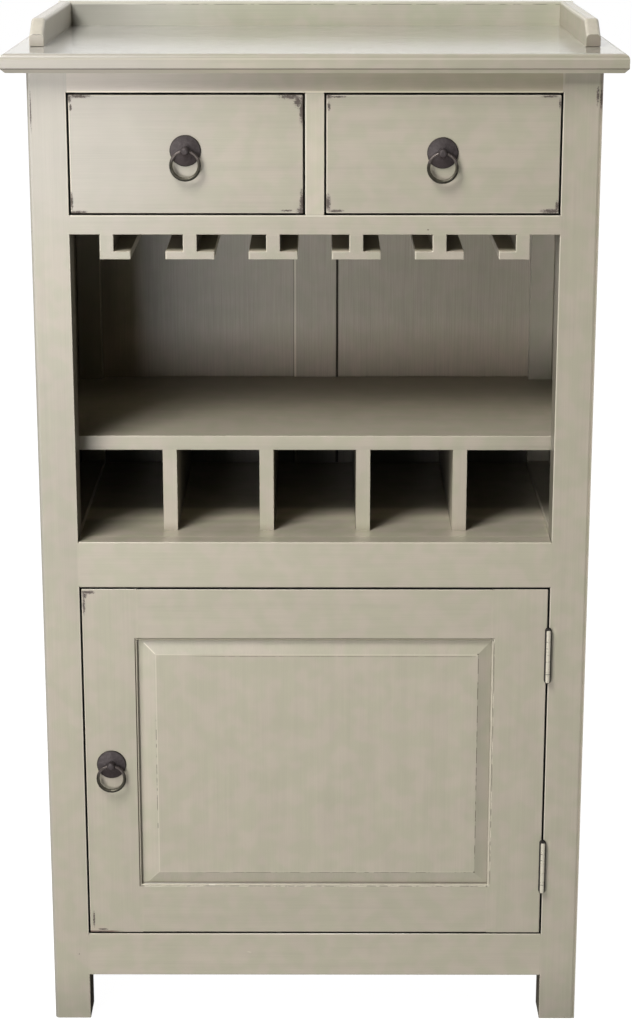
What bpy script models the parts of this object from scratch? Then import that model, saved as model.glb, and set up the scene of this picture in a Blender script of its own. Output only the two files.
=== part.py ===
"""A painted bar cabinet. Two drawers sit under a top with a low gallery. Below them is an open bay with
hanging rails for stemware and a rack for bottles, and below that a cupboard with one framed door.

Metres, +Z up. +X is the viewer's right and -Y is the front. The origin is on the floor, under the
middle of the top."""

import math

import bmesh
import bpy
from mathutils import Vector

# Fits that every joint shares
JOINT_GAP = 0.0003
CUT_OVERRUN = 0.002
ARRIS = 0.001

# Heights of the front, from the floor up
FOOT_HEIGHT = 0.055
BOTTOM_RAIL_HEIGHT = 0.052
DOOR_OPENING_HEIGHT = 0.417
MID_RAIL_HEIGHT = 0.052
BAY_HEIGHT = 0.340
DRAWER_RAIL_HEIGHT = 0.0205
DRAWER_OPENING_HEIGHT = 0.1285
FRIEZE_HEIGHT = 0.022

# Body and frame
BODY_WIDTH = 0.602
BODY_DEPTH = 0.378
POST_SIDE = 0.041
POST_CORNER_RADIUS = 0.004
RAIL_THICKNESS = 0.025
DRAWER_STILE_WIDTH = 0.020
TENON_LENGTH = 0.012
TENON_CHEEK_SHOULDER = 0.007
TENON_EDGE_SHOULDER = 0.005

# Rear frame and its panels
REAR_FRAME_THICKNESS = 0.022
REAR_FRAME_SETBACK = 0.015
REAR_TOP_RAIL_HEIGHT = 0.060
REAR_BOTTOM_RAIL_HEIGHT = 0.052
MUNTIN_WIDTH = 0.052
BACK_PANEL_THICKNESS = 0.008
BACK_PANEL_SETBACK = 0.003
PANEL_TONGUE = 0.006

# Plank sides
SIDE_PANEL_THICKNESS = 0.010
SIDE_PANEL_RECESS = 0.003
HOUSING_DEPTH = 0.004

# Top and gallery
SLAB_THICKNESS = 0.020
SLAB_OVERHANG = 0.024
SLAB_TOP_ROUND = 0.006
SLAB_UNDER_CHAMFER = 0.00475
GALLERY_HEIGHT = 0.028
GALLERY_THICKNESS = 0.0155
GALLERY_SETBACK = 0.088
GALLERY_SIDE_MARGIN = 0.021
GALLERY_NOSE_HEIGHT = 0.013
GALLERY_SLOPE_RUN = 0.025
GALLERY_TOP_ROUND = 0.0035

# Bottle rack in the bay
DECK_THICKNESS = 0.020
BATTEN_HEIGHT = 0.052
BATTEN_RISE = 0.006
BATTEN_LEDGE = 0.020
SHELF_THICKNESS = 0.016
SHELF_SETBACK = 0.048
BOTTLE_HEIGHT = 0.0925
DIVIDER_THICKNESS = 0.0157
DIVIDER_HOUSING = 0.003
BOTTLE_COMPARTMENTS = 5

# Hanging rails for stemware
HANGER_SIDE_SPACE = 0.039
HANGER_DROP = 0.0265
HANGER_BACK_CLEARANCE = 0.022
STEM_WIDTH = 0.0147
FLANGE_THICKNESS = 0.0083
T_FLANGE_WIDTH = 0.052
L_FLANGE_WIDTH = 0.0326
T_HANGERS = 4

# Boards inside
GUIDE_HEIGHT = 0.024
FLOOR_THICKNESS = 0.016
FLOOR_DROP = 0.002
STOP_WIDTH = 0.012
STOP_THICKNESS = 0.016
STOP_END_SPACE = 0.050

# Drawers
DRAWER_GAP = 0.002
DRAWER_FRONT_THICKNESS = 0.020
TRAY_BACK_CLEARANCE = 0.022
TRAY_HEIGHT = 0.100
TRAY_WALL = 0.010
TRAY_BOTTOM = 0.006
TRAY_BOTTOM_RAISE = 0.008

# Door
DOOR_GAP = 0.002
DOOR_THICKNESS = 0.022
DOOR_STILE_WIDTH = 0.058
DOOR_RAIL_WIDTH = 0.057
DOOR_TENON_LENGTH = 0.030
DOOR_TENON_EDGE_SHOULDER = 0.012
MOULDING_WIDTH = 0.0033
MOULDING_DEPTH = 0.0033
MOULDING_CORNER_RADIUS = 0.002
GROOVE_SETBACK = 0.0041
GROOVE_DEPTH = 0.009
PANEL_THICKNESS = 0.012
PANEL_BEVEL_WIDTH = 0.014
PANEL_BEVEL_DEPTH = 0.0029
PANEL_SIDE_MARGIN = 0.003
PANEL_END_MARGIN = 0.0009
PANEL_FLOAT = 0.002
PANEL_DROP = 0.001

# Butt hinges
HINGE_TO_DOOR_TOP = 0.0765
HINGE_TO_DOOR_BOTTOM = 0.0825
HINGE_LEAF_HEIGHT = 0.059
HINGE_LEAF_WIDTH = 0.019
HINGE_LEAF_THICKNESS = 0.0016
BARREL_RADIUS = 0.0035
BARREL_CAP_HEIGHT = 0.0025
PIN_RADIUS = 0.0017
PIN_CLEARANCE = 0.0003
KNUCKLE_GAP = 0.0004
KNUCKLES = 5
HINGE_SIDES = 16

# Ring pulls
ROSETTE_RADIUS = 0.0165
ROSETTE_RIM_HEIGHT = 0.0018
ROSETTE_RIM_WIDTH = 0.0012
ROSETTE_DOME_HEIGHT = 0.0035
BOSS_RADIUS = 0.00475
BOSS_HEIGHT = 0.0115
BOSS_ROUND = 0.0025
EYE_HEIGHT = 0.007
EYE_CLEARANCE = 0.0004
RING_RADIUS = 0.015
RING_WIRE_RADIUS = 0.0015
RING_SWELL = 0.0006
LEFT_PULL_RISE = 0.0040
LEFT_PULL_SHIFT = -0.0010
RIGHT_PULL_RISE = 0.0017
RIGHT_PULL_SHIFT = -0.0005
ROSETTE_SIDES = 32
EYE_SIDES = 16
RING_STEPS = 32
RING_WIRE_SIDES = 10

# Steps of the rounded edges
CORNER_SEGMENTS = 3
ROUND_SEGMENTS = 4
SMOOTH_ANGLE = math.radians(35)

# Places that follow from the sizes
BOTTOM_RAIL_TOP = FOOT_HEIGHT + BOTTOM_RAIL_HEIGHT
DOOR_OPENING_TOP = BOTTOM_RAIL_TOP + DOOR_OPENING_HEIGHT
DECK_TOP = DOOR_OPENING_TOP + MID_RAIL_HEIGHT
BAY_TOP = DECK_TOP + BAY_HEIGHT
DRAWER_RAIL_TOP = BAY_TOP + DRAWER_RAIL_HEIGHT
FRIEZE_BOTTOM = DRAWER_RAIL_TOP + DRAWER_OPENING_HEIGHT
BODY_TOP = FRIEZE_BOTTOM + FRIEZE_HEIGHT
SLAB_TOP = BODY_TOP + SLAB_THICKNESS
SHELF_BOTTOM = DECK_TOP + BOTTLE_HEIGHT
SHELF_TOP = SHELF_BOTTOM + SHELF_THICKNESS

SLAB_FRONT = -(BODY_DEPTH + SLAB_OVERHANG) / 2
FRONT = SLAB_FRONT + SLAB_OVERHANG
BACK = FRONT + BODY_DEPTH
FRONT_POST_BACK = FRONT + POST_SIDE
REAR_POST_FRONT = BACK - POST_SIDE
REAR_FRAME_FRONT = REAR_POST_FRONT + REAR_FRAME_SETBACK
BACK_PANEL_FRONT = REAR_FRAME_FRONT + BACK_PANEL_SETBACK

BODY_SIDE = BODY_WIDTH / 2
POST_INNER = BODY_SIDE - POST_SIDE
SIDE_PANEL_OUTER = BODY_SIDE - SIDE_PANEL_RECESS
SIDE_PANEL_INNER = SIDE_PANEL_OUTER - SIDE_PANEL_THICKNESS
SLAB_SIDE = BODY_SIDE + SLAB_OVERHANG

DOOR_SIDE = POST_INNER - DOOR_GAP
DOOR_BOTTOM = BOTTOM_RAIL_TOP + DOOR_GAP
DOOR_TOP = DOOR_OPENING_TOP - DOOR_GAP
DOOR_BACK = FRONT + DOOR_THICKNESS
HINGE_AXIS_X = POST_INNER - DOOR_GAP / 2
HINGE_AXIS_Y = FRONT - BARREL_RADIUS - JOINT_GAP

LEFT, RIGHT = -1, 1
SIDES = {"left": LEFT, "right": RIGHT}


def painted_wood():
    """Putty green paint, rubbed to a soft sheen."""
    return surface("painted_wood", (0.545, 0.505, 0.405), 0.55, 0.0)


def bare_wood():
    """Pale softwood of the drawers' sides."""
    return surface("bare_wood", (0.46, 0.31, 0.17), 0.7, 0.0)


def painted_steel():
    """Hinges painted over with the cabinet."""
    return surface("painted_steel", (0.55, 0.51, 0.42), 0.45, 0.1)


def aged_iron():
    """Dark pewter grey iron of the pulls."""
    return surface("aged_iron", (0.085, 0.075, 0.072), 0.5, 0.8)


def surface(name, colour, roughness, metallic):
    """A plain material of that name, made once."""
    known = bpy.data.materials.get(name)
    if known:
        return known
    made = bpy.data.materials.new(name)
    made.use_nodes = True
    shader = made.node_tree.nodes["Principled BSDF"]
    shader.inputs["Base Color"].default_value = (*colour, 1.0)
    shader.inputs["Roughness"].default_value = roughness
    shader.inputs["Metallic"].default_value = metallic
    return made


def clear_scene():
    """Remove every object that the file starts with."""
    for thing in list(bpy.data.objects):
        bpy.data.objects.remove(thing, do_unlink=True)


def place_mesh(name, shape, place, material, smooth=False):
    """One object from a bmesh whose points are measured from its place."""
    bmesh.ops.recalc_face_normals(shape, faces=shape.faces)
    mesh = bpy.data.meshes.new(name)
    shape.to_mesh(mesh)
    shape.free()
    if smooth:
        mesh.shade_smooth()
        mesh.set_sharp_from_angle(angle=SMOOTH_ANGLE)
    if material:
        mesh.materials.append(material)
    made = bpy.data.objects.new(name, mesh)
    made.location = place
    bpy.context.scene.collection.objects.link(made)
    return made


def centre_of(low, high):
    """The middle of a box."""
    return (Vector(low) + Vector(high)) / 2


def box_shape(low, high):
    """A box between two corners, measured from its middle."""
    half = (Vector(high) - Vector(low)) / 2
    shape = bmesh.new()
    bmesh.ops.create_cube(shape, size=2.0)
    bmesh.ops.scale(shape, vec=half, verts=shape.verts)
    return shape


def long_edges(shape, axis):
    """The edges that run along an axis, from one end of the shape to the other."""
    low = min(point.co[axis] for point in shape.verts)
    high = max(point.co[axis] for point in shape.verts)
    found = []
    for edge in shape.edges:
        ends = sorted(point.co[axis] for point in edge.verts)
        if math.isclose(ends[0], low, abs_tol=JOINT_GAP) and math.isclose(ends[1], high, abs_tol=JOINT_GAP):
            found.append(edge)
    return found


def bevel_edges(shape, edges, width, segments=1):
    """Round the edges, or cut them at a slope with one segment."""
    bmesh.ops.bevel(shape, geom=edges, offset=width, segments=segments, profile=0.5,
                    affect="EDGES", clamp_overlap=True)


def board(name, low, high, grain, material, arris=ARRIS):
    """A board between two corners, with the long edges along its grain eased."""
    shape = box_shape(low, high)
    if arris:
        bevel_edges(shape, long_edges(shape, grain), arris)
    return place_mesh(name, shape, centre_of(low, high), material)


def add_tenon(shape, axis, end, length, shoulders):
    """Grow a tenon from the end face that looks along the axis, set in by a shoulder each way."""
    face = max(shape.faces, key=lambda item: end * item.calc_center_median()[axis])
    for step in ("shoulder", "tip"):
        grown = bmesh.ops.extrude_discrete_faces(shape, faces=[face])["faces"]
        face = grown[0]
        if step == "tip":
            step = [end * length * (way == axis) for way in range(3)]
            bmesh.ops.translate(shape, verts=face.verts, vec=step)
            continue
        for point in face.verts:
            for way, shoulder in shoulders.items():
                point.co[way] -= math.copysign(shoulder, point.co[way])


def rail(name, low, high, axis, hosts, material, arris=0, length=TENON_LENGTH, edge=TENON_EDGE_SHOULDER):
    """A rail or stile along X or Z, with a tenon in each of its two hosts, which are mortised for it."""
    shoulders = {1: TENON_CHEEK_SHOULDER, 2 - axis: edge}
    shape = box_shape(low, high)
    outer = long_edges(shape, axis)
    for end in (-1, 1):
        add_tenon(shape, axis, end, length, shoulders)
    if arris:
        bevel_edges(shape, outer, arris)
    made = place_mesh(name, shape, centre_of(low, high), material)
    for end, host in zip((-1, 1), hosts):
        tenon_low = Vector(low)
        tenon_high = Vector(high)
        for way, shoulder in shoulders.items():
            tenon_low[way] += shoulder
            tenon_high[way] -= shoulder
        if end < 0:
            tenon_low[axis] -= length
            tenon_high[axis] = low[axis] + CUT_OVERRUN
        else:
            tenon_high[axis] += length
            tenon_low[axis] = high[axis] - CUT_OVERRUN
        house(host, name, tenon_low, tenon_high)
    return made


def tool(name, shape, place, host):
    """A shape that cuts its host or is joined to it, and moves with it."""
    made = place_mesh(name, shape, place, None)
    made.hide_render = True
    made.display_type = "WIRE"
    carry(made, host)
    return made


def combine(host, other, operation):
    """Cut the other shape from the host, or join it to the host."""
    step = host.modifiers.new(other.name, "BOOLEAN")
    step.operation = operation
    step.solver = "EXACT"
    step.object = other


def house(host, guest_name, low, high):
    """Cut the room for a guest's box into its host, with the joint's gap all round."""
    low = Vector(low) - Vector((JOINT_GAP,) * 3)
    high = Vector(high) + Vector((JOINT_GAP,) * 3)
    cutter = tool(f"{host.name}_for_{guest_name}", box_shape(low, high), centre_of(low, high), host)
    combine(host, cutter, "DIFFERENCE")


def world_place(thing):
    """Where an object's origin stands, through its parents, none of which is turned."""
    place = thing.location.copy()
    while thing.parent:
        thing = thing.parent
        place += thing.location
    return place


def carry(child, parent):
    """Hang a child on its parent and leave it where it stands."""
    child.location = world_place(child) - world_place(parent)
    child.parent = parent


def joint_empty(name, place):
    """An empty that stands on a joint's axis."""
    made = bpy.data.objects.new(name, None)
    made.location = place
    bpy.context.scene.collection.objects.link(made)
    return made


def extruded_shape(outline, axis, low, high):
    """A closed outline in the two other axes, in their own order, drawn out along an axis."""
    shape = bmesh.new()
    ways = [way for way in range(3) if way != axis]
    points = []
    for pair in outline:
        place = Vector((0.0, 0.0, 0.0))
        place[axis] = low
        for way, value in zip(ways, pair):
            place[way] = value
        points.append(shape.verts.new(place))
    face = shape.faces.new(points)
    grown = bmesh.ops.extrude_face_region(shape, geom=[face])["geom"]
    moved = [item for item in grown if isinstance(item, bmesh.types.BMVert)]
    bmesh.ops.translate(shape, verts=moved, vec=[(high - low) * (way == axis) for way in range(3)])
    return shape


def turned_shape(profile, axis, sides):
    """A shape turned about an axis through its place. The profile goes from pole to pole as pairs of
    distance along the axis and radius, and it starts and ends at radius zero."""
    shape = bmesh.new()
    across = [way for way in range(3) if way != axis]

    def point(along, radius, angle):
        place = Vector((0.0, 0.0, 0.0))
        place[axis] = along
        place[across[0]] = radius * math.cos(angle)
        place[across[1]] = radius * math.sin(angle)
        return shape.verts.new(place)

    start = point(profile[0][0], 0.0, 0.0)
    finish = point(profile[-1][0], 0.0, 0.0)
    rings = []
    for along, radius in profile[1:-1]:
        rings.append([point(along, radius, math.tau * (step + 0.5) / sides) for step in range(sides)])
    for step in range(sides):
        after = (step + 1) % sides
        shape.faces.new((start, rings[0][step], rings[0][after]))
        shape.faces.new((finish, rings[-1][after], rings[-1][step]))
        for lower, upper in zip(rings, rings[1:]):
            shape.faces.new((lower[step], upper[step], upper[after], lower[after]))
    return shape


def rounding(along_from, along_to, radius_from, radius_to):
    """Profile points of a quarter round, from where its side starts to where its end is flat."""
    points = []
    for step in range(CORNER_SEGMENTS + 1):
        turn = math.pi / 2 * step / CORNER_SEGMENTS
        points.append((along_from + (along_to - along_from) * math.sin(turn),
                       radius_to + (radius_from - radius_to) * math.cos(turn)))
    return points


def build_posts():
    """Four square posts that run from the floor to the top, rounded at the body's outer corner."""
    posts = {}
    for row, y_low, y_high in (("front", FRONT, FRONT_POST_BACK), ("rear", REAR_POST_FRONT, BACK)):
        for side, sign in SIDES.items():
            x_low, x_high = sorted((sign * POST_INNER, sign * BODY_SIDE))
            low = (x_low, y_low, 0.0)
            high = (x_high, y_high, BODY_TOP - JOINT_GAP)
            shape = box_shape(low, high)
            outer = [edge for edge in long_edges(shape, 2) if sign * edge.verts[0].co.x > 0]
            outer.sort(key=lambda edge: edge.verts[0].co.y, reverse=row == "rear")
            bevel_edges(shape, outer[:1], POST_CORNER_RADIUS, CORNER_SEGMENTS)
            bevel_edges(shape, outer[1:], ARRIS)
            name = f"post_{row}_{side}"
            posts[row, side] = place_mesh(name, shape, centre_of(low, high), painted_wood(), smooth=True)
    return posts


def build_front_frame(posts):
    """The rails between the front posts, and the stile between the two drawers."""
    inner = POST_INNER - JOINT_GAP
    hosts = [posts["front", "left"], posts["front", "right"]]
    spans = {
        "rail_bottom": (FOOT_HEIGHT, BOTTOM_RAIL_TOP, ARRIS),
        "rail_middle": (DOOR_OPENING_TOP, DECK_TOP, ARRIS),
        "rail_under_drawers": (BAY_TOP, DRAWER_RAIL_TOP, 0),
        "rail_frieze": (FRIEZE_BOTTOM, BODY_TOP - JOINT_GAP, 0),
    }
    rails = {}
    for name, (bottom, top, arris) in spans.items():
        low = (-inner, FRONT, bottom)
        high = (inner, FRONT + RAIL_THICKNESS, top)
        rails[name] = rail(name, low, high, 0, hosts, painted_wood(), arris)
    low = (-DRAWER_STILE_WIDTH / 2, FRONT, DRAWER_RAIL_TOP + JOINT_GAP)
    high = (DRAWER_STILE_WIDTH / 2, FRONT + RAIL_THICKNESS, FRIEZE_BOTTOM - JOINT_GAP)
    rail("stile_between_drawers", low, high, 2, [rails["rail_under_drawers"], rails["rail_frieze"]],
         painted_wood())


def build_rear_frame(posts):
    """Two rails and a muntin between the rear posts, with a thin panel in grooves on each side of the
    muntin."""
    inner = POST_INNER - JOINT_GAP
    front = REAR_FRAME_FRONT
    back = front + REAR_FRAME_THICKNESS
    hosts = [posts["rear", "left"], posts["rear", "right"]]
    rail_low = BODY_TOP - REAR_TOP_RAIL_HEIGHT
    bottom_top = FOOT_HEIGHT + REAR_BOTTOM_RAIL_HEIGHT
    top_rail = rail("rear_rail_top", (-inner, front, rail_low), (inner, back, BODY_TOP - JOINT_GAP),
                    0, hosts, painted_wood())
    bottom_rail = rail("rear_rail_bottom", (-inner, front, FOOT_HEIGHT), (inner, back, bottom_top),
                       0, hosts, painted_wood())
    muntin = rail("rear_muntin", (-MUNTIN_WIDTH / 2, front, bottom_top + JOINT_GAP),
                  (MUNTIN_WIDTH / 2, back, rail_low - JOINT_GAP), 2, [bottom_rail, top_rail], painted_wood())
    for side, sign in SIDES.items():
        inner = MUNTIN_WIDTH / 2 - PANEL_TONGUE
        outer = POST_INNER + PANEL_TONGUE
        x_low, x_high = sorted((sign * inner, sign * outer))
        low = (x_low, BACK_PANEL_FRONT, bottom_top - PANEL_TONGUE)
        high = (x_high, BACK_PANEL_FRONT + BACK_PANEL_THICKNESS, rail_low + PANEL_TONGUE)
        name = f"back_panel_{side}"
        board(name, low, high, 2, painted_wood(), arris=0)
        for host in (muntin, bottom_rail, top_rail, posts["rear", side]):
            house(host, name, low, high)


def build_side_panels(posts):
    """A plank on each side, tongued into the front and rear posts."""
    panels = {}
    for side, sign in SIDES.items():
        x_low, x_high = sorted((sign * SIDE_PANEL_INNER, sign * SIDE_PANEL_OUTER))
        low = (x_low, FRONT_POST_BACK - PANEL_TONGUE, FOOT_HEIGHT)
        high = (x_high, REAR_POST_FRONT + PANEL_TONGUE, BODY_TOP - JOINT_GAP)
        panels[side] = board(f"side_panel_{side}", low, high, 2, painted_wood(), arris=0)
        for row in ("front", "rear"):
            house(posts[row, side], f"side_panel_{side}", low, high)
    return panels


def build_notched_board(name, y_low, y_high, z_low, z_high, side_panels):
    """A board across the body that is notched round the posts and housed in the side panels."""
    narrow = POST_INNER - JOINT_GAP
    wide = SIDE_PANEL_INNER + HOUSING_DEPTH
    notch_front = FRONT_POST_BACK + JOINT_GAP
    notch_back = REAR_POST_FRONT - JOINT_GAP
    wide_front = max(y_low, notch_front)
    right = [(wide, wide_front), (wide, notch_back), (narrow, notch_back), (narrow, y_high)]
    if y_low < notch_front:
        right = [(narrow, y_low), (narrow, notch_front)] + right
    outline = right + [(-x, y) for x, y in reversed(right)]
    middle = Vector((0.0, 0.0, (z_low + z_high) / 2))
    shape = extruded_shape(outline, 2, z_low - middle.z, z_high - middle.z)
    made = place_mesh(name, shape, middle, painted_wood())
    for panel in side_panels.values():
        house(panel, name, (-wide, wide_front, z_low), (wide, notch_back, z_high))
    return made


def build_rack(side_panels):
    """The bay's deck on its side battens, the shelf above it, and the dividers that make a compartment
    for each bottle."""
    deck_bottom = DECK_TOP - DECK_THICKNESS
    rack_back = REAR_FRAME_FRONT - JOINT_GAP
    deck_side = POST_INNER - JOINT_GAP
    low = (-deck_side, FRONT + RAIL_THICKNESS + JOINT_GAP, deck_bottom)
    deck = board("bottle_deck", low, (deck_side, rack_back, DECK_TOP), 0, painted_wood(), arris=0)

    batten_top = DECK_TOP + BATTEN_RISE
    batten_bottom = batten_top - BATTEN_HEIGHT
    ledge_top = deck_bottom - JOINT_GAP
    for side, sign in SIDES.items():
        outline = [
            (sign * (POST_INNER - BATTEN_LEDGE), batten_bottom),
            (sign * (SIDE_PANEL_INNER - JOINT_GAP), batten_bottom),
            (sign * (SIDE_PANEL_INNER - JOINT_GAP), batten_top),
            (sign * POST_INNER, batten_top),
            (sign * POST_INNER, ledge_top),
            (sign * (POST_INNER - BATTEN_LEDGE), ledge_top),
        ]
        shape = extruded_shape(outline, 1, FRONT_POST_BACK + JOINT_GAP, REAR_POST_FRONT - JOINT_GAP)
        place_mesh(f"deck_batten_{side}", shape, (0.0, 0.0, 0.0), painted_wood())

    shelf = build_notched_board("bottle_shelf", FRONT + SHELF_SETBACK, rack_back, SHELF_BOTTOM, SHELF_TOP,
                                side_panels)

    free_width = 2 * POST_INNER - (BOTTLE_COMPARTMENTS - 1) * DIVIDER_THICKNESS
    pitch = free_width / BOTTLE_COMPARTMENTS + DIVIDER_THICKNESS
    for count in range(1, BOTTLE_COMPARTMENTS):
        middle = -POST_INNER - DIVIDER_THICKNESS / 2 + count * pitch
        low = (middle - DIVIDER_THICKNESS / 2, FRONT + SHELF_SETBACK, DECK_TOP - DIVIDER_HOUSING)
        high = (middle + DIVIDER_THICKNESS / 2, rack_back, SHELF_BOTTOM + DIVIDER_HOUSING)
        name = f"bottle_divider_{count}"
        board(name, low, high, 2, painted_wood(), arris=0)
        for host in (deck, shelf):
            house(host, name, low, high)


def build_hangers():
    """Rails under the drawers that hold stemmed glasses by their feet. The outer two are L-shaped and
    the others T-shaped."""
    top = BAY_TOP - JOINT_GAP
    bottom = BAY_TOP - HANGER_DROP
    flange_top = bottom + FLANGE_THICKNESS
    half_stem = STEM_WIDTH / 2
    half_flange = T_FLANGE_WIDTH / 2
    t_right = [(half_flange, bottom), (half_flange, flange_top), (half_stem, flange_top), (half_stem, top)]
    t_outline = t_right + [(-x, z) for x, z in reversed(t_right)]
    l_outline = [
        (half_stem, bottom),
        (half_stem, top),
        (-half_stem, top),
        (-half_stem, flange_top),
        (half_stem - L_FLANGE_WIDTH, flange_top),
        (half_stem - L_FLANGE_WIDTH, bottom),
    ]
    count = T_HANGERS + 2
    outermost = POST_INNER - HANGER_SIDE_SPACE
    for index in range(count):
        middle = (2 * index / (count - 1) - 1) * outermost
        if index == 0:
            outline = [(-x, z) for x, z in l_outline]
        elif index == count - 1:
            outline = l_outline
        else:
            outline = t_outline
        shape = extruded_shape(outline, 1, FRONT, REAR_FRAME_FRONT - HANGER_BACK_CLEARANCE)
        place_mesh(f"glass_hanger_{index + 1}", shape, (middle, 0.0, 0.0), painted_wood())


def build_inner_boards(side_panels):
    """The board that the drawers run on, their guides, the cupboard's floor and the door's stop."""
    back = REAR_FRAME_FRONT - JOINT_GAP
    behind_rail = FRONT + RAIL_THICKNESS + JOINT_GAP
    build_notched_board("dust_board", behind_rail, back, BAY_TOP, DRAWER_RAIL_TOP, side_panels)
    floor_top = BOTTOM_RAIL_TOP - FLOOR_DROP
    floor_bottom = floor_top - FLOOR_THICKNESS
    build_notched_board("cupboard_floor", behind_rail, back, floor_bottom, floor_top, side_panels)

    guide_low = DRAWER_RAIL_TOP + JOINT_GAP
    guide_high = guide_low + GUIDE_HEIGHT
    board("drawer_guide_middle", (-DRAWER_STILE_WIDTH / 2, behind_rail, guide_low),
          (DRAWER_STILE_WIDTH / 2, back, guide_high), 1, bare_wood())
    for side, sign in SIDES.items():
        x_low, x_high = sorted((sign * POST_INNER, sign * (SIDE_PANEL_INNER - JOINT_GAP)))
        board(f"drawer_guide_{side}", (x_low, FRONT_POST_BACK + JOINT_GAP, guide_low),
              (x_high, REAR_POST_FRONT - JOINT_GAP, guide_high), 1, bare_wood())

    x_low = -POST_INNER + JOINT_GAP
    y_low = DOOR_BACK + JOINT_GAP
    board("door_stop", (x_low, y_low, DOOR_BOTTOM + STOP_END_SPACE),
          (x_low + STOP_WIDTH, y_low + STOP_THICKNESS, DOOR_TOP - STOP_END_SPACE), 2, painted_wood())


def build_top():
    """The top slab, and the low gallery that stands on it along the back and the sides."""
    low = (-SLAB_SIDE, SLAB_FRONT, BODY_TOP)
    high = (SLAB_SIDE, BACK, SLAB_TOP)
    shape = box_shape(low, high)
    half = (Vector(high) - Vector(low)) / 2
    underside = (-half.z, SLAB_UNDER_CHAMFER, 1)
    upper_side = (half.z, SLAB_TOP_ROUND, ROUND_SEGMENTS)
    for level, width, segments in (underside, upper_side):
        edges = []
        for edge in shape.edges:
            middle = (edge.verts[0].co + edge.verts[1].co) / 2
            at_level = math.isclose(middle.z, level, abs_tol=JOINT_GAP)
            at_back = math.isclose(middle.y, half.y, abs_tol=JOINT_GAP)
            if at_level and not at_back:
                edges.append(edge)
        bevel_edges(shape, edges, width, segments)
    place_mesh("top_slab", shape, centre_of(low, high), painted_wood(), smooth=True)

    foot = SLAB_TOP + JOINT_GAP
    top = SLAB_TOP + GALLERY_HEIGHT
    outer = SLAB_SIDE - GALLERY_SIDE_MARGIN
    back_front = BACK - GALLERY_THICKNESS
    low = (-outer, back_front, foot)
    high = (outer, BACK, top)
    shape = box_shape(low, high)
    upper = [edge for edge in long_edges(shape, 0) if edge.verts[0].co.z > 0]
    bevel_edges(shape, upper, GALLERY_TOP_ROUND, CORNER_SEGMENTS)
    place_mesh("gallery_back", shape, centre_of(low, high), painted_wood(), smooth=True)

    nose = SLAB_FRONT + GALLERY_SETBACK
    end = back_front - JOINT_GAP
    middle_y = (nose + end) / 2
    outline = [
        (nose, foot),
        (nose, SLAB_TOP + GALLERY_NOSE_HEIGHT),
        (nose + GALLERY_SLOPE_RUN, top),
        (end, top),
        (end, foot),
    ]
    outline = [(y - middle_y, z - foot) for y, z in outline]
    for side, sign in SIDES.items():
        shape = extruded_shape(outline, 0, -GALLERY_THICKNESS / 2, GALLERY_THICKNESS / 2)
        ridge = []
        for edge in shape.edges:
            along = abs(edge.verts[0].co.x - edge.verts[1].co.x) < JOINT_GAP
            raised = min(edge.verts[0].co.z, edge.verts[1].co.z) > 0
            if along and raised:
                ridge.append(edge)
        bevel_edges(shape, ridge, GALLERY_TOP_ROUND, CORNER_SEGMENTS)
        place = (sign * (outer - GALLERY_THICKNESS / 2), middle_y, foot)
        place_mesh(f"gallery_{side}", shape, place, painted_wood(), smooth=True)


def build_pull(name, x, z, body):
    """A round plate with a boss, and a ring that swings in the eye through the boss. The ring's wire
    is thickest at the bottom."""
    rim = ROSETTE_RADIUS - ROSETTE_RIM_WIDTH
    profile = [(-JOINT_GAP, 0.0), (-JOINT_GAP, ROSETTE_RADIUS)]
    rim_foot = -ROSETTE_RIM_HEIGHT + ROSETTE_RIM_WIDTH / 2
    profile += rounding(rim_foot, -ROSETTE_RIM_HEIGHT, ROSETTE_RADIUS, rim)
    profile += [(-ROSETTE_DOME_HEIGHT, BOSS_RADIUS + ROSETTE_RIM_WIDTH), (-ROSETTE_DOME_HEIGHT, BOSS_RADIUS)]
    profile += rounding(-BOSS_HEIGHT + BOSS_ROUND, -BOSS_HEIGHT, BOSS_RADIUS, BOSS_RADIUS - BOSS_ROUND)
    profile += [(-BOSS_HEIGHT, 0.0)]
    shape = turned_shape(profile, 1, ROSETTE_SIDES)
    rosette = place_mesh(f"rosette_{name}", shape, (x, FRONT, z), aged_iron(), smooth=True)
    ring_rise = (RING_RADIUS - math.sqrt(RING_RADIUS ** 2 - BOSS_RADIUS ** 2)) / 2
    eye_radius = ring_rise + RING_WIRE_RADIUS + EYE_CLEARANCE
    eye_reach = BOSS_RADIUS + CUT_OVERRUN
    eye_profile = [(-eye_reach, 0.0), (-eye_reach, eye_radius), (eye_reach, eye_radius), (eye_reach, 0.0)]
    eye_shape = turned_shape(eye_profile, 0, EYE_SIDES)
    eye = tool(f"rosette_{name}_eye", eye_shape, (x, FRONT - EYE_HEIGHT, z), rosette)
    combine(rosette, eye, "DIFFERENCE")

    ring = bmesh.new()
    rows = []
    for step in range(RING_STEPS):
        turn = math.tau * step / RING_STEPS
        wire = RING_WIRE_RADIUS + RING_SWELL * (1 - math.cos(turn)) / 2
        row = []
        for side in range(RING_WIRE_SIDES):
            round_wire = math.tau * side / RING_WIRE_SIDES
            reach = RING_RADIUS + wire * math.cos(round_wire)
            row.append(ring.verts.new((reach * math.sin(turn), wire * math.sin(round_wire),
                                       reach * math.cos(turn) - RING_RADIUS + ring_rise)))
        rows.append(row)
    for step in range(RING_STEPS):
        this, following = rows[step], rows[(step + 1) % RING_STEPS]
        for side in range(RING_WIRE_SIDES):
            after = (side + 1) % RING_WIRE_SIDES
            ring.faces.new((this[side], following[side], following[after], this[after]))
    swing = place_mesh(f"ring_{name}", ring, (x, FRONT - EYE_HEIGHT, z), aged_iron(), smooth=True)
    for piece in (rosette, swing):
        carry(piece, body)


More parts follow.
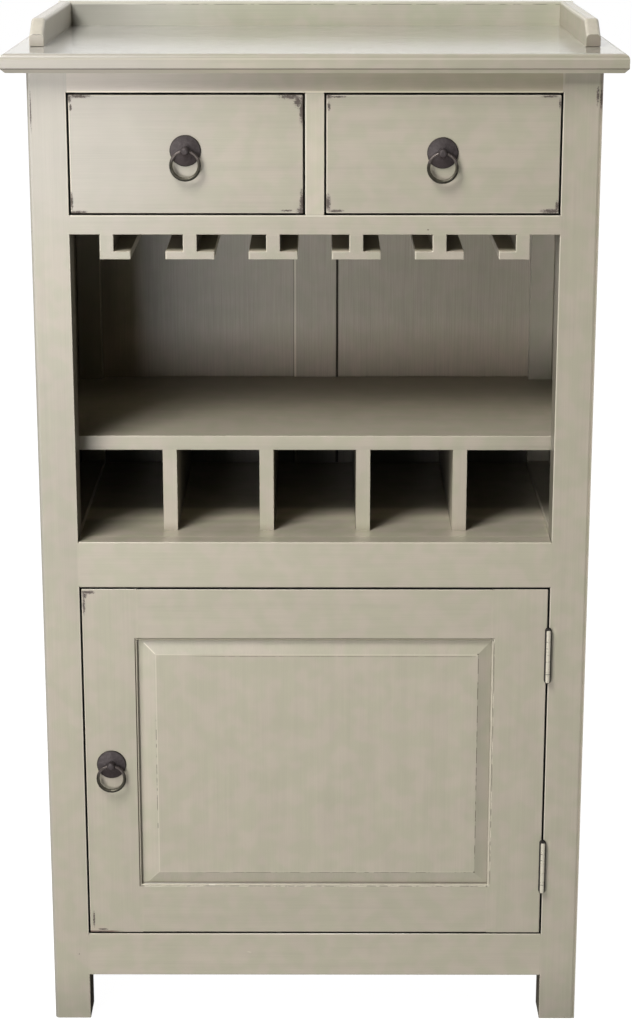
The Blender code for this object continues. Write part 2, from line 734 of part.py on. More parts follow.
def build_drawer(side, sign, pull_shift, pull_rise):
    """A drawer whose plain front closes flush with the frame, on a tray of thin boards. Its pull was
    set by eye, a little off the middle."""
    inner = DRAWER_STILE_WIDTH / 2 + DRAWER_GAP
    outer = POST_INNER - DRAWER_GAP
    x_low, x_high = sorted((sign * inner, sign * outer))
    middle = (x_low + x_high) / 2
    bottom = DRAWER_RAIL_TOP + DRAWER_GAP
    top = FRIEZE_BOTTOM - DRAWER_GAP
    body = joint_empty(f"drawer_{side}_slide", (middle, FRONT, (bottom + top) / 2))

    low = (x_low, FRONT, bottom)
    high = (x_high, FRONT + DRAWER_FRONT_THICKNESS, top)
    shape = box_shape(low, high)
    front_edges = [edge for edge in shape.edges if max(point.co.y for point in edge.verts) < 0]
    bevel_edges(shape, front_edges, ARRIS)
    carry(place_mesh(f"drawer_{side}_front", shape, centre_of(low, high), painted_wood()), body)

    tray_front = FRONT + DRAWER_FRONT_THICKNESS + JOINT_GAP
    tray_back = REAR_FRAME_FRONT - TRAY_BACK_CLEARANCE
    tray_bottom = DRAWER_RAIL_TOP + JOINT_GAP
    tray_top = tray_bottom + TRAY_HEIGHT
    low = (x_low, tray_front, tray_bottom)
    high = (x_high, tray_back, tray_top)
    tray = place_mesh(f"drawer_{side}_tray", box_shape(low, high), centre_of(low, high), bare_wood())
    panel_low = tray_bottom + TRAY_BOTTOM_RAISE
    hollows = {
        "inside": (panel_low + TRAY_BOTTOM, tray_top + CUT_OVERRUN),
        "underside": (tray_bottom - CUT_OVERRUN, panel_low),
    }
    for hollow, (z_low, z_high) in hollows.items():
        low = (x_low + TRAY_WALL, tray_front - CUT_OVERRUN, z_low)
        high = (x_high - TRAY_WALL, tray_back - TRAY_WALL, z_high)
        cutter = tool(f"drawer_{side}_tray_{hollow}", box_shape(low, high), centre_of(low, high), tray)
        combine(tray, cutter, "DIFFERENCE")
    carry(tray, body)
    build_pull(f"drawer_{side}", middle + pull_shift, (bottom + top) / 2 + pull_rise, body)


def build_door(post):
    """The cupboard's door: two stiles and two rails round a raised panel that floats in their grooves."""
    body = joint_empty("door_hinge_axis", (HINGE_AXIS_X, HINGE_AXIS_Y, (DOOR_BOTTOM + DOOR_TOP) / 2))
    sight_side = DOOR_SIDE - DOOR_STILE_WIDTH
    inner_side = sight_side - MOULDING_WIDTH
    sight_low = DOOR_BOTTOM + DOOR_RAIL_WIDTH
    sight_high = DOOR_TOP - DOOR_RAIL_WIDTH
    inner_low = sight_low + MOULDING_WIDTH
    inner_high = sight_high - MOULDING_WIDTH

    stiles = {}
    for side, sign in SIDES.items():
        x_low, x_high = sorted((sign * inner_side, sign * DOOR_SIDE))
        low = (x_low, FRONT, DOOR_BOTTOM)
        high = (x_high, DOOR_BACK, DOOR_TOP)
        shape = box_shape(low, high)
        outer = [edge for edge in long_edges(shape, 2) if sign * edge.verts[0].co.x > 0]
        bevel_edges(shape, outer, ARRIS)
        stiles[side] = place_mesh(f"door_stile_{side}", shape, centre_of(low, high), painted_wood())
    rails = {}
    reach = inner_side - JOINT_GAP
    for level, z_low, z_high in (("bottom", DOOR_BOTTOM, inner_low), ("top", inner_high, DOOR_TOP)):
        low = (-reach, FRONT, z_low)
        high = (reach, DOOR_BACK, z_high)
        rails[level] = rail(f"door_rail_{level}", low, high, 0, list(stiles.values()), painted_wood(),
                            ARRIS, DOOR_TENON_LENGTH, DOOR_TENON_EDGE_SHOULDER)

    centre = Vector((0.0, 0.0, (inner_low + inner_high) / 2))
    frame = list(stiles.values()) + list(rails.values())
    groove_low = (-inner_side - GROOVE_DEPTH, FRONT + GROOVE_SETBACK, inner_low - GROOVE_DEPTH)
    panel_front = FRONT + GROOVE_SETBACK + JOINT_GAP
    tongue_thickness = PANEL_THICKNESS - PANEL_BEVEL_DEPTH
    groove_high = (inner_side + GROOVE_DEPTH, panel_front + tongue_thickness + JOINT_GAP,
                   inner_high + GROOVE_DEPTH)
    slope = MOULDING_WIDTH / MOULDING_DEPTH * CUT_OVERRUN
    for piece in frame:
        groove = tool(f"{piece.name}_groove", box_shape(groove_low, groove_high),
                      centre_of(groove_low, groove_high), piece)
        combine(piece, groove, "DIFFERENCE")
        mouth = frustum_shape(
            (sight_side + slope, sight_high - centre.z + slope), (inner_side, inner_high - centre.z),
            -CUT_OVERRUN, MOULDING_DEPTH)
        moulding = tool(f"{piece.name}_moulding", mouth, (0.0, FRONT, centre.z), piece)
        combine(piece, moulding, "DIFFERENCE")

    field_side = inner_side - PANEL_SIDE_MARGIN - PANEL_BEVEL_WIDTH
    field_end = inner_high - centre.z - PANEL_END_MARGIN - PANEL_BEVEL_WIDTH
    tongue_side = inner_side + GROOVE_DEPTH - PANEL_FLOAT - 2 * JOINT_GAP
    tongue_end = inner_high - centre.z + GROOVE_DEPTH - PANEL_DROP - 2 * JOINT_GAP
    place = Vector((PANEL_FLOAT, panel_front, centre.z - PANEL_DROP))
    shape = box_shape((-tongue_side, 0.0, -tongue_end), (tongue_side, tongue_thickness, tongue_end))
    bmesh.ops.translate(shape, verts=shape.verts, vec=(0.0, tongue_thickness / 2, 0.0))
    front = min(shape.faces, key=lambda item: item.calc_center_median().y)
    bevel_foot = (field_side + PANEL_BEVEL_WIDTH, field_end + PANEL_BEVEL_WIDTH)
    for half_x, half_z, y in ((*bevel_foot, 0.0), (field_side, field_end, -PANEL_BEVEL_DEPTH)):
        front = bmesh.ops.extrude_discrete_faces(shape, faces=[front])["faces"][0]
        for point in front.verts:
            point.co = (math.copysign(half_x, point.co.x), y, math.copysign(half_z, point.co.z))
    panel = place_mesh("door_panel", shape, place, painted_wood())

    for piece in frame + [panel]:
        carry(piece, body)
    build_pull("door", -(DOOR_SIDE - DOOR_STILE_WIDTH / 2), (DOOR_BOTTOM + DOOR_TOP) / 2, body)
    build_hinge("lower", DOOR_BOTTOM + HINGE_TO_DOOR_BOTTOM, post, stiles["right"], body)
    build_hinge("upper", DOOR_TOP - HINGE_TO_DOOR_TOP, post, stiles["right"], body)


def frustum_shape(mouth, throat, mouth_y, throat_y):
    """A wedge-sided plug that narrows from its mouth to its throat, its four slanted corners rounded."""
    shape = box_shape((-1.0, -1.0, -1.0), (1.0, 1.0, 1.0))
    for point in shape.verts:
        half = mouth if point.co.y < 0 else throat
        y = mouth_y if point.co.y < 0 else throat_y
        point.co = (math.copysign(half[0], point.co.x), y, math.copysign(half[1], point.co.z))
    corners = [edge for edge in shape.edges if abs(edge.verts[0].co.y - edge.verts[1].co.y) > MOULDING_DEPTH]
    bevel_edges(shape, corners, MOULDING_CORNER_RADIUS, CORNER_SEGMENTS)
    return shape


def build_hinge(name, z, post, stile, body):
    """A butt hinge. The post's leaf has the outer and middle knuckles and the pin, and the door's leaf
    has the two between, which turn on the pin."""
    knuckle = HINGE_LEAF_HEIGHT / KNUCKLES
    starts = [-HINGE_LEAF_HEIGHT / 2 + index * knuckle for index in range(KNUCKLES)]
    axis = Vector((HINGE_AXIS_X, HINGE_AXIS_Y, z))
    leaf_back = FRONT - HINGE_AXIS_Y + HINGE_LEAF_WIDTH
    notch = BARREL_RADIUS + KNUCKLE_GAP
    near = DOOR_GAP / 2
    far = near + HINGE_LEAF_THICKNESS

    leaves = {}
    for part, sign, own in (("post", RIGHT, 0), ("door", LEFT, 1)):
        edge = []
        for index, start in enumerate(starts):
            reach = 0.0 if index % 2 == own else notch
            low = start + KNUCKLE_GAP / 2
            high = start + knuckle - KNUCKLE_GAP / 2
            if index % 2 != own:
                low = start - KNUCKLE_GAP / 2
                high = start + knuckle + KNUCKLE_GAP / 2
            low = max(low, -HINGE_LEAF_HEIGHT / 2)
            high = min(high, HINGE_LEAF_HEIGHT / 2)
            edge += [(reach, low), (reach, high)]
        outline = edge + [(leaf_back, HINGE_LEAF_HEIGHT / 2), (leaf_back, -HINGE_LEAF_HEIGHT / 2)]
        x_low, x_high = sorted((sign * near, sign * far))
        shape = extruded_shape(outline, 0, x_low, x_high)
        leaves[part] = place_mesh(f"hinge_{name}_{part}_leaf", shape, axis, painted_steel(), smooth=True)

    end = HINGE_LEAF_HEIGHT / 2
    profile = []
    for index, start in enumerate(starts):
        radius = BARREL_RADIUS if index % 2 == 0 else PIN_RADIUS
        gap = KNUCKLE_GAP / 2 * (-1 if index % 2 else 1)
        profile += [(start + gap, radius), (start + knuckle - gap, radius)]
    cap = rounding(end, end + BARREL_CAP_HEIGHT, BARREL_RADIUS, 0.0)
    profile = [(-along, radius) for along, radius in reversed(cap)] + profile[1:-1] + cap
    barrel = tool(f"hinge_{name}_post_barrel", turned_shape(profile, 2, HINGE_SIDES), axis, leaves["post"])
    combine(leaves["post"], barrel, "UNION")

    for index, start in enumerate(starts):
        if index % 2 == 0:
            continue
        low = start + KNUCKLE_GAP / 2
        high = start + knuckle - KNUCKLE_GAP / 2
        profile = [(low, 0.0), (low, BARREL_RADIUS), (high, BARREL_RADIUS), (high, 0.0)]
        wrap = tool(f"hinge_{name}_door_knuckle_{index}", turned_shape(profile, 2, HINGE_SIDES), axis,
                    leaves["door"])
        combine(leaves["door"], wrap, "UNION")
    bore_radius = PIN_RADIUS + PIN_CLEARANCE
    through = end + CUT_OVERRUN
    profile = [(-through, 0.0), (-through, bore_radius), (through, bore_radius), (through, 0.0)]
    bore = tool(f"hinge_{name}_door_bore", turned_shape(profile, 2, HINGE_SIDES), axis, leaves["door"])
    combine(leaves["door"], bore, "DIFFERENCE")

    for part, host, sign in (("post", post, RIGHT), ("door", stile, LEFT)):
        x_low, x_high = sorted((sign * near, sign * far))
        if sign == RIGHT:
            x_low -= CUT_OVERRUN / 2
        else:
            x_high += CUT_OVERRUN / 2
        house(host, f"hinge_{name}_{part}_leaf", axis + Vector((x_low, 0.0, -end)),
              axis + Vector((x_high, leaf_back, end)))
    carry(leaves["door"], body)


def main():
    clear_scene()
    posts = build_posts()
    build_front_frame(posts)
    build_rear_frame(posts)
    side_panels = build_side_panels(posts)
    build_rack(side_panels)
    build_hangers()
    build_inner_boards(side_panels)
    build_top()
    build_drawer("left", LEFT, LEFT_PULL_SHIFT, LEFT_PULL_RISE)
    build_drawer("right", RIGHT, RIGHT_PULL_SHIFT, RIGHT_PULL_RISE)
    build_door(posts["front", "right"])


main()
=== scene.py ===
import math

import bpy
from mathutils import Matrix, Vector


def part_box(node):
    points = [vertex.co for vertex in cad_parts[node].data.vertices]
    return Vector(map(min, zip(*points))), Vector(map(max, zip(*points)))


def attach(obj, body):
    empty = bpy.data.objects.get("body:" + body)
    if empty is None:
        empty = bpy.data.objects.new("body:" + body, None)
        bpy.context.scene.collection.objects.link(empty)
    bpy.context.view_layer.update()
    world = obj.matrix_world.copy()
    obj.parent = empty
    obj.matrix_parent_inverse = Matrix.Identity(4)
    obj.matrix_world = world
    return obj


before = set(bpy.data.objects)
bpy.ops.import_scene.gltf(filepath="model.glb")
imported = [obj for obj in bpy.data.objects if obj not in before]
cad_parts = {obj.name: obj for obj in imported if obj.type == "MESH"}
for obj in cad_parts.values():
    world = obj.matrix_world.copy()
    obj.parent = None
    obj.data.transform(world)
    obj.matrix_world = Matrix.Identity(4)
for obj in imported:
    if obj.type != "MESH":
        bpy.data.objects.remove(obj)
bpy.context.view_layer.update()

# The camera stands 2.5 m in front of the cabinet, a little above its top, and looks down by 15.6 degrees.
camera = bpy.data.objects.new("camera", bpy.data.cameras.new("camera"))
camera.location = (0.007615, -2.72227, 1.32413)
camera.rotation_euler = (math.radians(74.39), 0.0, math.radians(0.14))
camera.data.lens = 85.283
camera.data.sensor_width = 36.0
camera.data.clip_end = 60.0
bpy.context.scene.collection.objects.link(camera)
bpy.context.scene.camera = camera
bpy.context.scene.view_settings.view_transform = "Standard"


# The studio: a white sheet that sweeps behind the cabinet and under it, and two soft lamps at the left, one
# low and in front, one high. The sheet's white is the world's, so it lights the cabinet from behind and a
# little from below, and the floor takes a faint shadow.
class Tone:
    """A value, colour or place on its way through a material. Sums written on it add their Math nodes."""

    def __init__(self, tree, socket=None):
        self.tree = tree
        self.socket = socket

    def node(self, kind, settings=None, sockets=None, out=0):
        """Adds a node: its settings first, then the values or links of its sockets, by name or number."""
        made = self.tree.nodes.new("ShaderNode" + kind)
        for name, value in (settings or {}).items():
            setattr(made, name, value)
        for name, value in (sockets or {}).items():
            if isinstance(value, Tone):
                self.tree.links.new(value.socket, made.inputs[name])
            else:
                made.inputs[name].default_value = value
        return Tone(self.tree, made.outputs[out] if made.outputs else None)

    def maths(self, operation, *values):
        return self.node("Math", {"operation": operation}, dict(enumerate(values)))

    def __add__(self, other):
        return self.maths("ADD", self, other)

    def __radd__(self, other):
        return self.maths("ADD", other, self)

    def __sub__(self, other):
        return self.maths("SUBTRACT", self, other)

    def __rsub__(self, other):
        return self.maths("SUBTRACT", other, self)

    def __mul__(self, other):
        return self.maths("MULTIPLY", self, other)

    def __rmul__(self, other):
        return self.maths("MULTIPLY", other, self)

    def size(self):
        return self.maths("ABSOLUTE", self)

    def larger(self, other):
        return self.maths("MAXIMUM", self, other)

    def smaller(self, other):
        return self.maths("MINIMUM", self, other)

    def fraction(self):
        return self.maths("FRACT", self)

    def wave(self):
        return self.maths("SINE", self)

    def step(self, low, high):
        """0 below low, 1 above high and soft between them. It falls instead where high is the lower."""
        return self.node("MapRange", {"interpolation_type": "SMOOTHSTEP"},
                         {"Value": self, "From Min": low, "From Max": high})

    def between(self, low, high, soft):
        """1 from low to high and 0 outside them, soft on both sides."""
        return self.step(low - soft, low + soft) * self.step(high + soft, high - soft)

    def parts(self):
        """The X, Y and Z of this place or direction, each as a value."""
        split = self.node("SeparateXYZ", {}, {0: self})
        return [Tone(self.tree, output) for output in split.socket.node.outputs]

    def colour(self, under, over):
        """The under colour where this mask is 0 and the over colour where it is 1."""
        return self.node("Mix", {"data_type": "RGBA"}, {0: self, 6: under, 7: over}, out=2)

    def scaled(self, *sizes):
        return self.node("VectorMath", {"operation": "MULTIPLY"}, {0: self, 1: sizes})

    def times(self, amount):
        return self.node("VectorMath", {"operation": "SCALE"}, {0: self, "Scale": amount})

    def away(self, centre_x, centre_z, stretch_x=1.0, stretch_z=1.0):
        """How far this place is from a centre, seen from the front, with X and Z stretched by these."""
        offset = self.node("VectorMath", {"operation": "SUBTRACT"}, {0: self, 1: (centre_x, 0.0, centre_z)})
        return self.node("VectorMath", {"operation": "LENGTH"}, {0: offset.scaled(stretch_x, 0.0, stretch_z)},
                         out=1)

    def noise(self, *sizes, detail=2.0, roughness=0.5):
        """Noise of this place. Its spots have these sizes in metres along X, Y and Z, or one for all."""
        sizes = sizes * 3 if len(sizes) == 1 else sizes
        spots = self.scaled(*[1.0 / size for size in sizes])
        return self.node("TexNoise", {}, {"Vector": spots, "Scale": 1.0, "Detail": detail,
                                          "Roughness": roughness})


def empty_finish(name):
    """A material with no nodes yet, and the Tone that adds them."""
    finish = bpy.data.materials.new(name)
    finish.use_nodes = True
    finish.node_tree.nodes.clear()
    return finish, Tone(finish.node_tree)


world = bpy.data.worlds.new("white_sheet")
bpy.context.scene.world = world
world.use_nodes = True
world.node_tree.nodes.clear()
sky = Tone(world.node_tree)
_, backward, upward = sky.node("TexCoord").parts()
from_behind = backward.step(0.0, 0.75) * upward.step(0.0, 0.05) * 1.15
from_below = upward.step(-0.15, -0.55) * backward.step(0.2, -0.2) * 0.55
sheet = sky.node("Background", {}, {"Color": (1.0, 1.0, 1.0, 1.0), "Strength": 1.0})
fill = sky.node("Background", {}, {"Color": (1.0, 0.99, 0.97, 1.0),
                                   "Strength": from_behind + from_below + 0.002})
to_camera = sky.node("LightPath")
sky.node("OutputWorld", {}, {"Surface": sky.node("MixShader", {}, {0: to_camera, 1: fill, 2: sheet})})

floor_mesh = bpy.data.meshes.new("floor")
floor_mesh.from_pydata([(-9.0, -6.0, 0.0), (9.0, -6.0, 0.0), (9.0, 12.0, 0.0), (-9.0, 12.0, 0.0)], [],
                       [(0, 1, 2, 3)])
floor = bpy.data.objects.new("floor", floor_mesh)
bpy.context.scene.collection.objects.link(floor)
floor_white, start = empty_finish("floor_white")
glow = start.node("Emission", {}, {"Color": (1.0, 1.0, 1.0, 1.0), "Strength": 0.97})
matt = start.node("BsdfDiffuse", {}, {"Color": (0.25, 0.25, 0.25, 1.0)})
start.node("OutputMaterial", {}, {"Surface": start.node("AddShader", {}, {0: glow, 1: matt})})
floor_mesh.materials.append(floor_white)
floor.visible_diffuse = False
floor.visible_glossy = False
floor.visible_shadow = False


def soft_lamp(name, place, aim, width, height, power, tint):
    """A rectangular lamp at a place, turned to its aim, that the camera doesn't see."""
    lamp = bpy.data.objects.new(name, bpy.data.lights.new(name, "AREA"))
    lamp.data.shape = "RECTANGLE"
    lamp.data.size = width
    lamp.data.size_y = height
    lamp.data.energy = power
    lamp.data.color = tint
    lamp.location = place
    lamp.rotation_euler = (Vector(aim) - Vector(place)).to_track_quat("-Z", "Y").to_euler()
    lamp.visible_camera = False
    bpy.context.scene.collection.objects.link(lamp)


soft_lamp("lamp_low", (-1.55, -3.45, 0.50), (0.0, -0.18, 0.5), 2.0, 1.15, 68.0, (1.0, 0.985, 0.965))
soft_lamp("lamp_high", (-1.2, -1.7, 3.0), (0.0, -0.18, 0.75), 1.1, 1.7, 80.0, (1.0, 0.985, 0.955))


# The finish of the wood: sage grey paint brushed on along each board, satin, over brown wood. The strokes
# show as fine streaks, the colour drifts from greenish to pinkish, and edges and corners are pale, partly
# rubbed paint and partly painted highlight. A painted sheen lies over the upper left, and the paint is
# lighter low down, partly as painted light.
PAINT_GREEN = (0.410, 0.388, 0.297, 1.0)
PAINT_PINK = (0.443, 0.396, 0.324, 1.0)
# The colour of a painted sheen that the lamps leave on the satin paint at the upper left.
PAINT_SHEEN_VEIL = (0.452, 0.420, 0.366, 1.0)
# Pale cream: paint rubbed thin, and also a painted highlight along edges that catch the light.
PALE_RUB_AND_HIGHLIGHT = (0.720, 0.675, 0.560, 1.0)
GRIME = (0.235, 0.190, 0.170, 1.0)
BARE_BROWN = (0.050, 0.031, 0.023, 1.0)
# Near black: stain on the drawers' sides and in dark joints, and painted shade in gaps, reveals and hollows.
STAIN_AND_SHADE = (0.012, 0.008, 0.006, 1.0)
FRONT = -0.177
MILLIMETRES = 1000.0


def lengths(along, across, length):
    """Sizes across a board's grain and along it, in the order X, Y, Z."""
    return [length if axis == along else across for axis in "XYZ"]


def brushed_paint(name, along, worn=(), strength=1.0, rubbed_edges=0.5, polish=0.0, marks_and_shade=None):
    """Brushed paint along one axis. Each worn place is its centre and half sizes in X and Z, in millimetres.
    Polish makes level faces shine. Marks and shade change the colour by the place and the way the surface
    faces: stains, wear and grain, and also painted shade, shadow and highlights."""
    finish, start = empty_finish(name)
    place = start.node("TexCoord", out=3)
    x, _, z = place.parts()
    facing = start.node("NewGeometry", out=3)
    fine = place.noise(*lengths(along, 0.0013, 0.11), detail=3.0, roughness=0.6)
    broad = place.noise(*lengths(along, 0.009, 0.4), detail=2.0)
    patches = place.noise(0.035, detail=1.0)
    drift = place.noise(0.022, detail=1.0)
    # The paint is up to 13 percent lighter low down than at the top, partly paint and partly painted light.
    light = fine * 0.17 + broad * 0.12 + patches * 0.12 + z.step(1.0, 0.45) * 0.13 + 0.795
    colour = drift.step(0.38, 0.64).colour(PAINT_GREEN, PAINT_PINK)
    # Painted sheen: the paint turns paler and greyer toward the upper left of the front.
    sheen_veil = x.step(-0.06, -0.22) * z.step(0.86, 1.0)
    colour = (sheen_veil * 0.8).colour(colour, PAINT_SHEEN_VEIL).times(light * strength)

    # Slanted faces at the edges are pale, partly rubbed paint and partly a painted highlight.
    across, ahead, upright = [part.size() for part in facing.parts()]
    slanted = across.larger(ahead).larger(upright).step(0.95, 0.88)
    rub = place.noise(0.016, detail=3.0, roughness=0.7).step(0.30, 0.60)
    colour = (slanted * (rub * 0.5 + 0.5) * rubbed_edges).colour(colour, PALE_RUB_AND_HIGHLIGHT)
    if marks_and_shade:
        colour = marks_and_shade(place, facing, colour)
    height = fine * 0.7 + broad * 0.3
    if worn:
        near = x * 0.0  # nowhere yet
        for centre_x, centre_z, half_x, half_z in worn:
            near = near.larger(1.0 - place.away(centre_x / MILLIMETRES, centre_z / MILLIMETRES,
                                                MILLIMETRES / half_x, MILLIMETRES / half_z))
        ragged = place.noise(0.0016, 0.0016, 0.0013, detail=4.0, roughness=0.7)
        cloudy = place.noise(0.005, detail=2.0)
        grimy = (near * 0.5 + cloudy).step(0.45, 0.85) * near.step(0.0, 0.25)
        rubbed = (near * 0.36 + ragged).step(0.58, 0.73) * near.step(0.0, 0.2)
        colour = (rubbed * 0.85).colour((grimy * 0.65).colour(colour, GRIME), BARE_BROWN)
        height = height - rubbed * 0.8
    bump = start.node("Bump", {}, {"Strength": 0.2, "Distance": 0.0005, "Height": height})
    dull = start.node("RGBToBW", {}, {"Color": colour}).step(0.12, 0.03)
    roughness = fine * 0.12 + dull * 0.6 + 0.30
    if polish:
        roughness = roughness - facing.parts()[2].step(0.97, 0.995) * polish
    shader = start.node("BsdfPrincipled", {}, {"Base Color": colour, "Roughness": roughness, "Normal": bump,
                                               "Specular IOR Level": 0.9})
    start.node("OutputMaterial", {}, {"Surface": shader})
    return finish


def finish_node(node, finish):
    """Gives a CAD node its finish."""
    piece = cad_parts[node]
    piece.material_slots[0].material = finish
    return piece


def dress(node, finish, edge=0.0005):
    """Paints a CAD node, and eases its sharp edges by this width."""
    piece = finish_node(node, finish)
    if edge:
        weld = piece.modifiers.new("weld", "WELD")
        weld.merge_threshold = 0.00001
        eased = piece.modifiers.new("eased", "BEVEL")
        eased.width = edge
        eased.segments = 1
        eased.limit_method = "ANGLE"
        eased.angle_limit = math.radians(60.0)


def add_piece(name, points, faces, finish, body):
    """A painted piece that isn't in the CAD, and moves with a body."""
    mesh = bpy.data.meshes.new(name)
    mesh.from_pydata(points, [], faces)
    mesh.materials.append(finish)
    piece = bpy.data.objects.new(name, mesh)
    bpy.context.scene.collection.objects.link(piece)
    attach(piece, body)


def paint_skin(name, low, high, body, finish):
    """A thin skin of paint over a joint between two boards: a flat block, from its low to its high corner."""
    x0, y0, z0 = low
    x1, y1, z1 = high
    corners = [(x0, y0, z0), (x1, y0, z0), (x1, y1, z0), (x0, y1, z0),
               (x0, y0, z1), (x1, y0, z1), (x1, y1, z1), (x0, y1, z1)]
    sides = [(0, 3, 2, 1), (4, 5, 6, 7), (0, 1, 5, 4), (1, 2, 6, 5), (2, 3, 7, 6), (3, 0, 4, 7)]
    add_piece(name, corners, sides, finish, body)


# The four square posts run from the floor to the top and are the legs too. Solid wood, painted, with the
# rails' tenons and the side planks in them. Their outer corners are rubbed at the top, and the feet are dim.
# Their inner faces at the openings are darkened as painted shade, and pale lines along the openings are
# partly painted highlight. Under the top the right post has painted shadow, and beside the hinges painted
# light.
DOOR_OPENING = (0.1070, 0.5240)
DRAWER_OPENING = (0.9365, 1.0650)
BAY = (0.578, 0.914)
HINGE_HEIGHTS = (0.4455, 0.1915)
CORNER_GREY = (0.385, 0.370, 0.345, 1.0)


def in_openings(z, soft):
    """1 at the heights of the door's opening and of the drawers'."""
    door, drawers = [z.between(low - 0.0004, high + 0.0004, soft)
                     for low, high in (DOOR_OPENING, DRAWER_OPENING)]
    return door.larger(drawers)


def from_hinge(z):
    """How far up or down the middle of the nearer hinge is."""
    upper, lower = [(z - height).size() for height in HINGE_HEIGHTS]
    return upper.smaller(lower)


def post_marks_and_shade(place, facing, colour):
    """Inner faces at the openings darkened as painted shade, pale arrises along the openings that are partly
    painted highlight, dim feet, painted shade in the middle at the left and under the top at the right, and
    painted light beside the hinges.
    """
    x, y, z = place.parts()
    opening = in_openings(z, 0.0003)
    # Painted shade: the inner faces at the openings are darkened.
    inner_face = x.size().step(0.2606, 0.2603) * y.step(FRONT + 0.0006, FRONT + 0.0014)
    colour = (inner_face * (opening * 0.5 + 0.5)).colour(colour, STAIN_AND_SHADE)
    by_opening = opening * (x.step(0.0, -0.1) * 0.3 + 0.7)
    rim = x.size().step(0.2614, 0.2606) * (z.between(*BAY, 0.002) * 0.6 + by_opening)
    colour = (rim * (1.0 - inner_face)).colour(colour, PALE_RUB_AND_HIGHLIGHT)
    left_corner, right_corner = x.step(-0.2970, -0.2985), x.step(0.2985, 0.2998)
    colour = (left_corner * 0.45).colour(colour, CORNER_GREY)
    colour = (right_corner * z.step(1.02, 1.06) * 0.6).colour(colour, GRIME)
    # Painted shade in the middle at the left and under the top at the right, and painted light beside the
    # hinges.
    foot = z.step(0.075, 0.004) * 0.20
    middle = z.between(0.50, 0.78, 0.10) * x.step(0.0, -0.2) * 0.09
    under_slab = z.step(1.0725, 1.0760) * x.step(0.20, 0.27) * 0.20
    by_hinge = from_hinge(z).step(0.035, 0.028) * x.step(0.2705, 0.2640) * x.step(0.2615, 0.2630) * 0.3
    return colour.times(1.0 - foot - middle - under_slab + by_hinge)


posts_wear = [(-297.2, 1046.0, 1.0, 30.0), (-259.7, 1080.1, 0.8, 4.1), (295.6, 1062.0, 2.0, 13.0),
              (299.6, 1060.0, 1.8, 15.0), (-271.5, 81.1, 1.1, 1.1), (-245.2, 149.5, 0.9, 0.9)]
posts_paint = brushed_paint("posts_paint", "Z", posts_wear, rubbed_edges=0.4, marks_and_shade=post_marks_and_shade)
# The rear posts have the same paint made darker, as painted shade inside the cabinet.
shaded_inner_paint = brushed_paint("shaded_inner_paint", "Z", strength=0.74)
for side in ("left", "right"):
    dress(f"post_front_{side}", posts_paint)
    dress(f"post_rear_{side}", shaded_inner_paint)
paint_skin("corner_post_right", (0.2994, FRONT - 0.00004, 0.0004), (0.3010, FRONT + 0.0013, 1.0866),
           "carcass", posts_paint)


# The front frame: rails tenoned into the posts, flush with them, and a short stile between the drawers. The
# paint runs over the joints, and the faces inside the openings are darkened as painted shade.
SKIN = 0.00006
POST_INNER = 0.260
JOINT_HALF = 0.0011


def frame_marks_and_shade(place, facing, colour):
    """Pale arrises round the drawers and on the stile, partly painted highlight, a scratch low down, faces
    inside the openings darkened as painted shade, and a frieze darkened as painted shadow under the top, most
    to the right."""
    x, y, z = place.parts()
    on_front = y.step(FRONT + 0.0008, FRONT + 0.0004)
    behind_front = y.step(FRONT + 0.0006, FRONT + 0.0014) * y.step(FRONT + 0.0256, FRONT + 0.0252)
    rim = (z.between(0.9352, 0.9366, 0.0003) * 0.8).larger(z.between(1.0649, 1.0669, 0.0003) * 0.9)
    rim = rim * x.size().step(0.2605, 0.2600)
    scratch = x.between(-0.0775, -0.0735, 0.001) * (z + x * 0.2 - 0.0689).size().step(0.0008, 0.0003)
    stile_rim = x.step(-0.0082, -0.0088) * x.step(-0.012, -0.010) * z.between(0.937, 1.064, 0.001)
    rim = rim.larger(scratch * 0.6).larger(stile_rim * 0.8)
    colour = (rim * on_front).colour(colour, PALE_RUB_AND_HIGHLIGHT)
    # Painted shade inside the openings.
    colour = (in_openings(z, 0.0006) * behind_front).colour(colour, STAIN_AND_SHADE)
    # Painted shadow under the top's overhang: the frieze is darkened and tinted, more to the right.
    frieze = z.step(1.064, 1.066)
    shade = x.step(-0.27, -0.05) * 0.24 + x.step(-0.05, 0.25) * 0.05 - x.step(-0.02, -0.10) * 0.035
    shade = shade + z.step(1.0675, 1.0705) * 0.10 - 0.165
    tinted = x.step(0.10, -0.10).colour(colour.scaled(1.02, 1.00, 0.90), colour.scaled(1.03, 0.99, 0.99))
    return frieze.colour(colour, tinted).times(1.0 - frieze * shade)


def joint_skin(name, middle, half, low, high, body, finish):
    """The paint over a joint in the front: the middle and half of its width, and its lowest and highest Z."""
    paint_skin(name, (middle - half, FRONT - SKIN, low), (middle + half, FRONT + 0.0003, high), body, finish)


rails_paint = brushed_paint("rails_paint", "X", [(120.0, 921.1, 1.4, 0.8)], strength=1.03, marks_and_shade=frame_marks_and_shade)
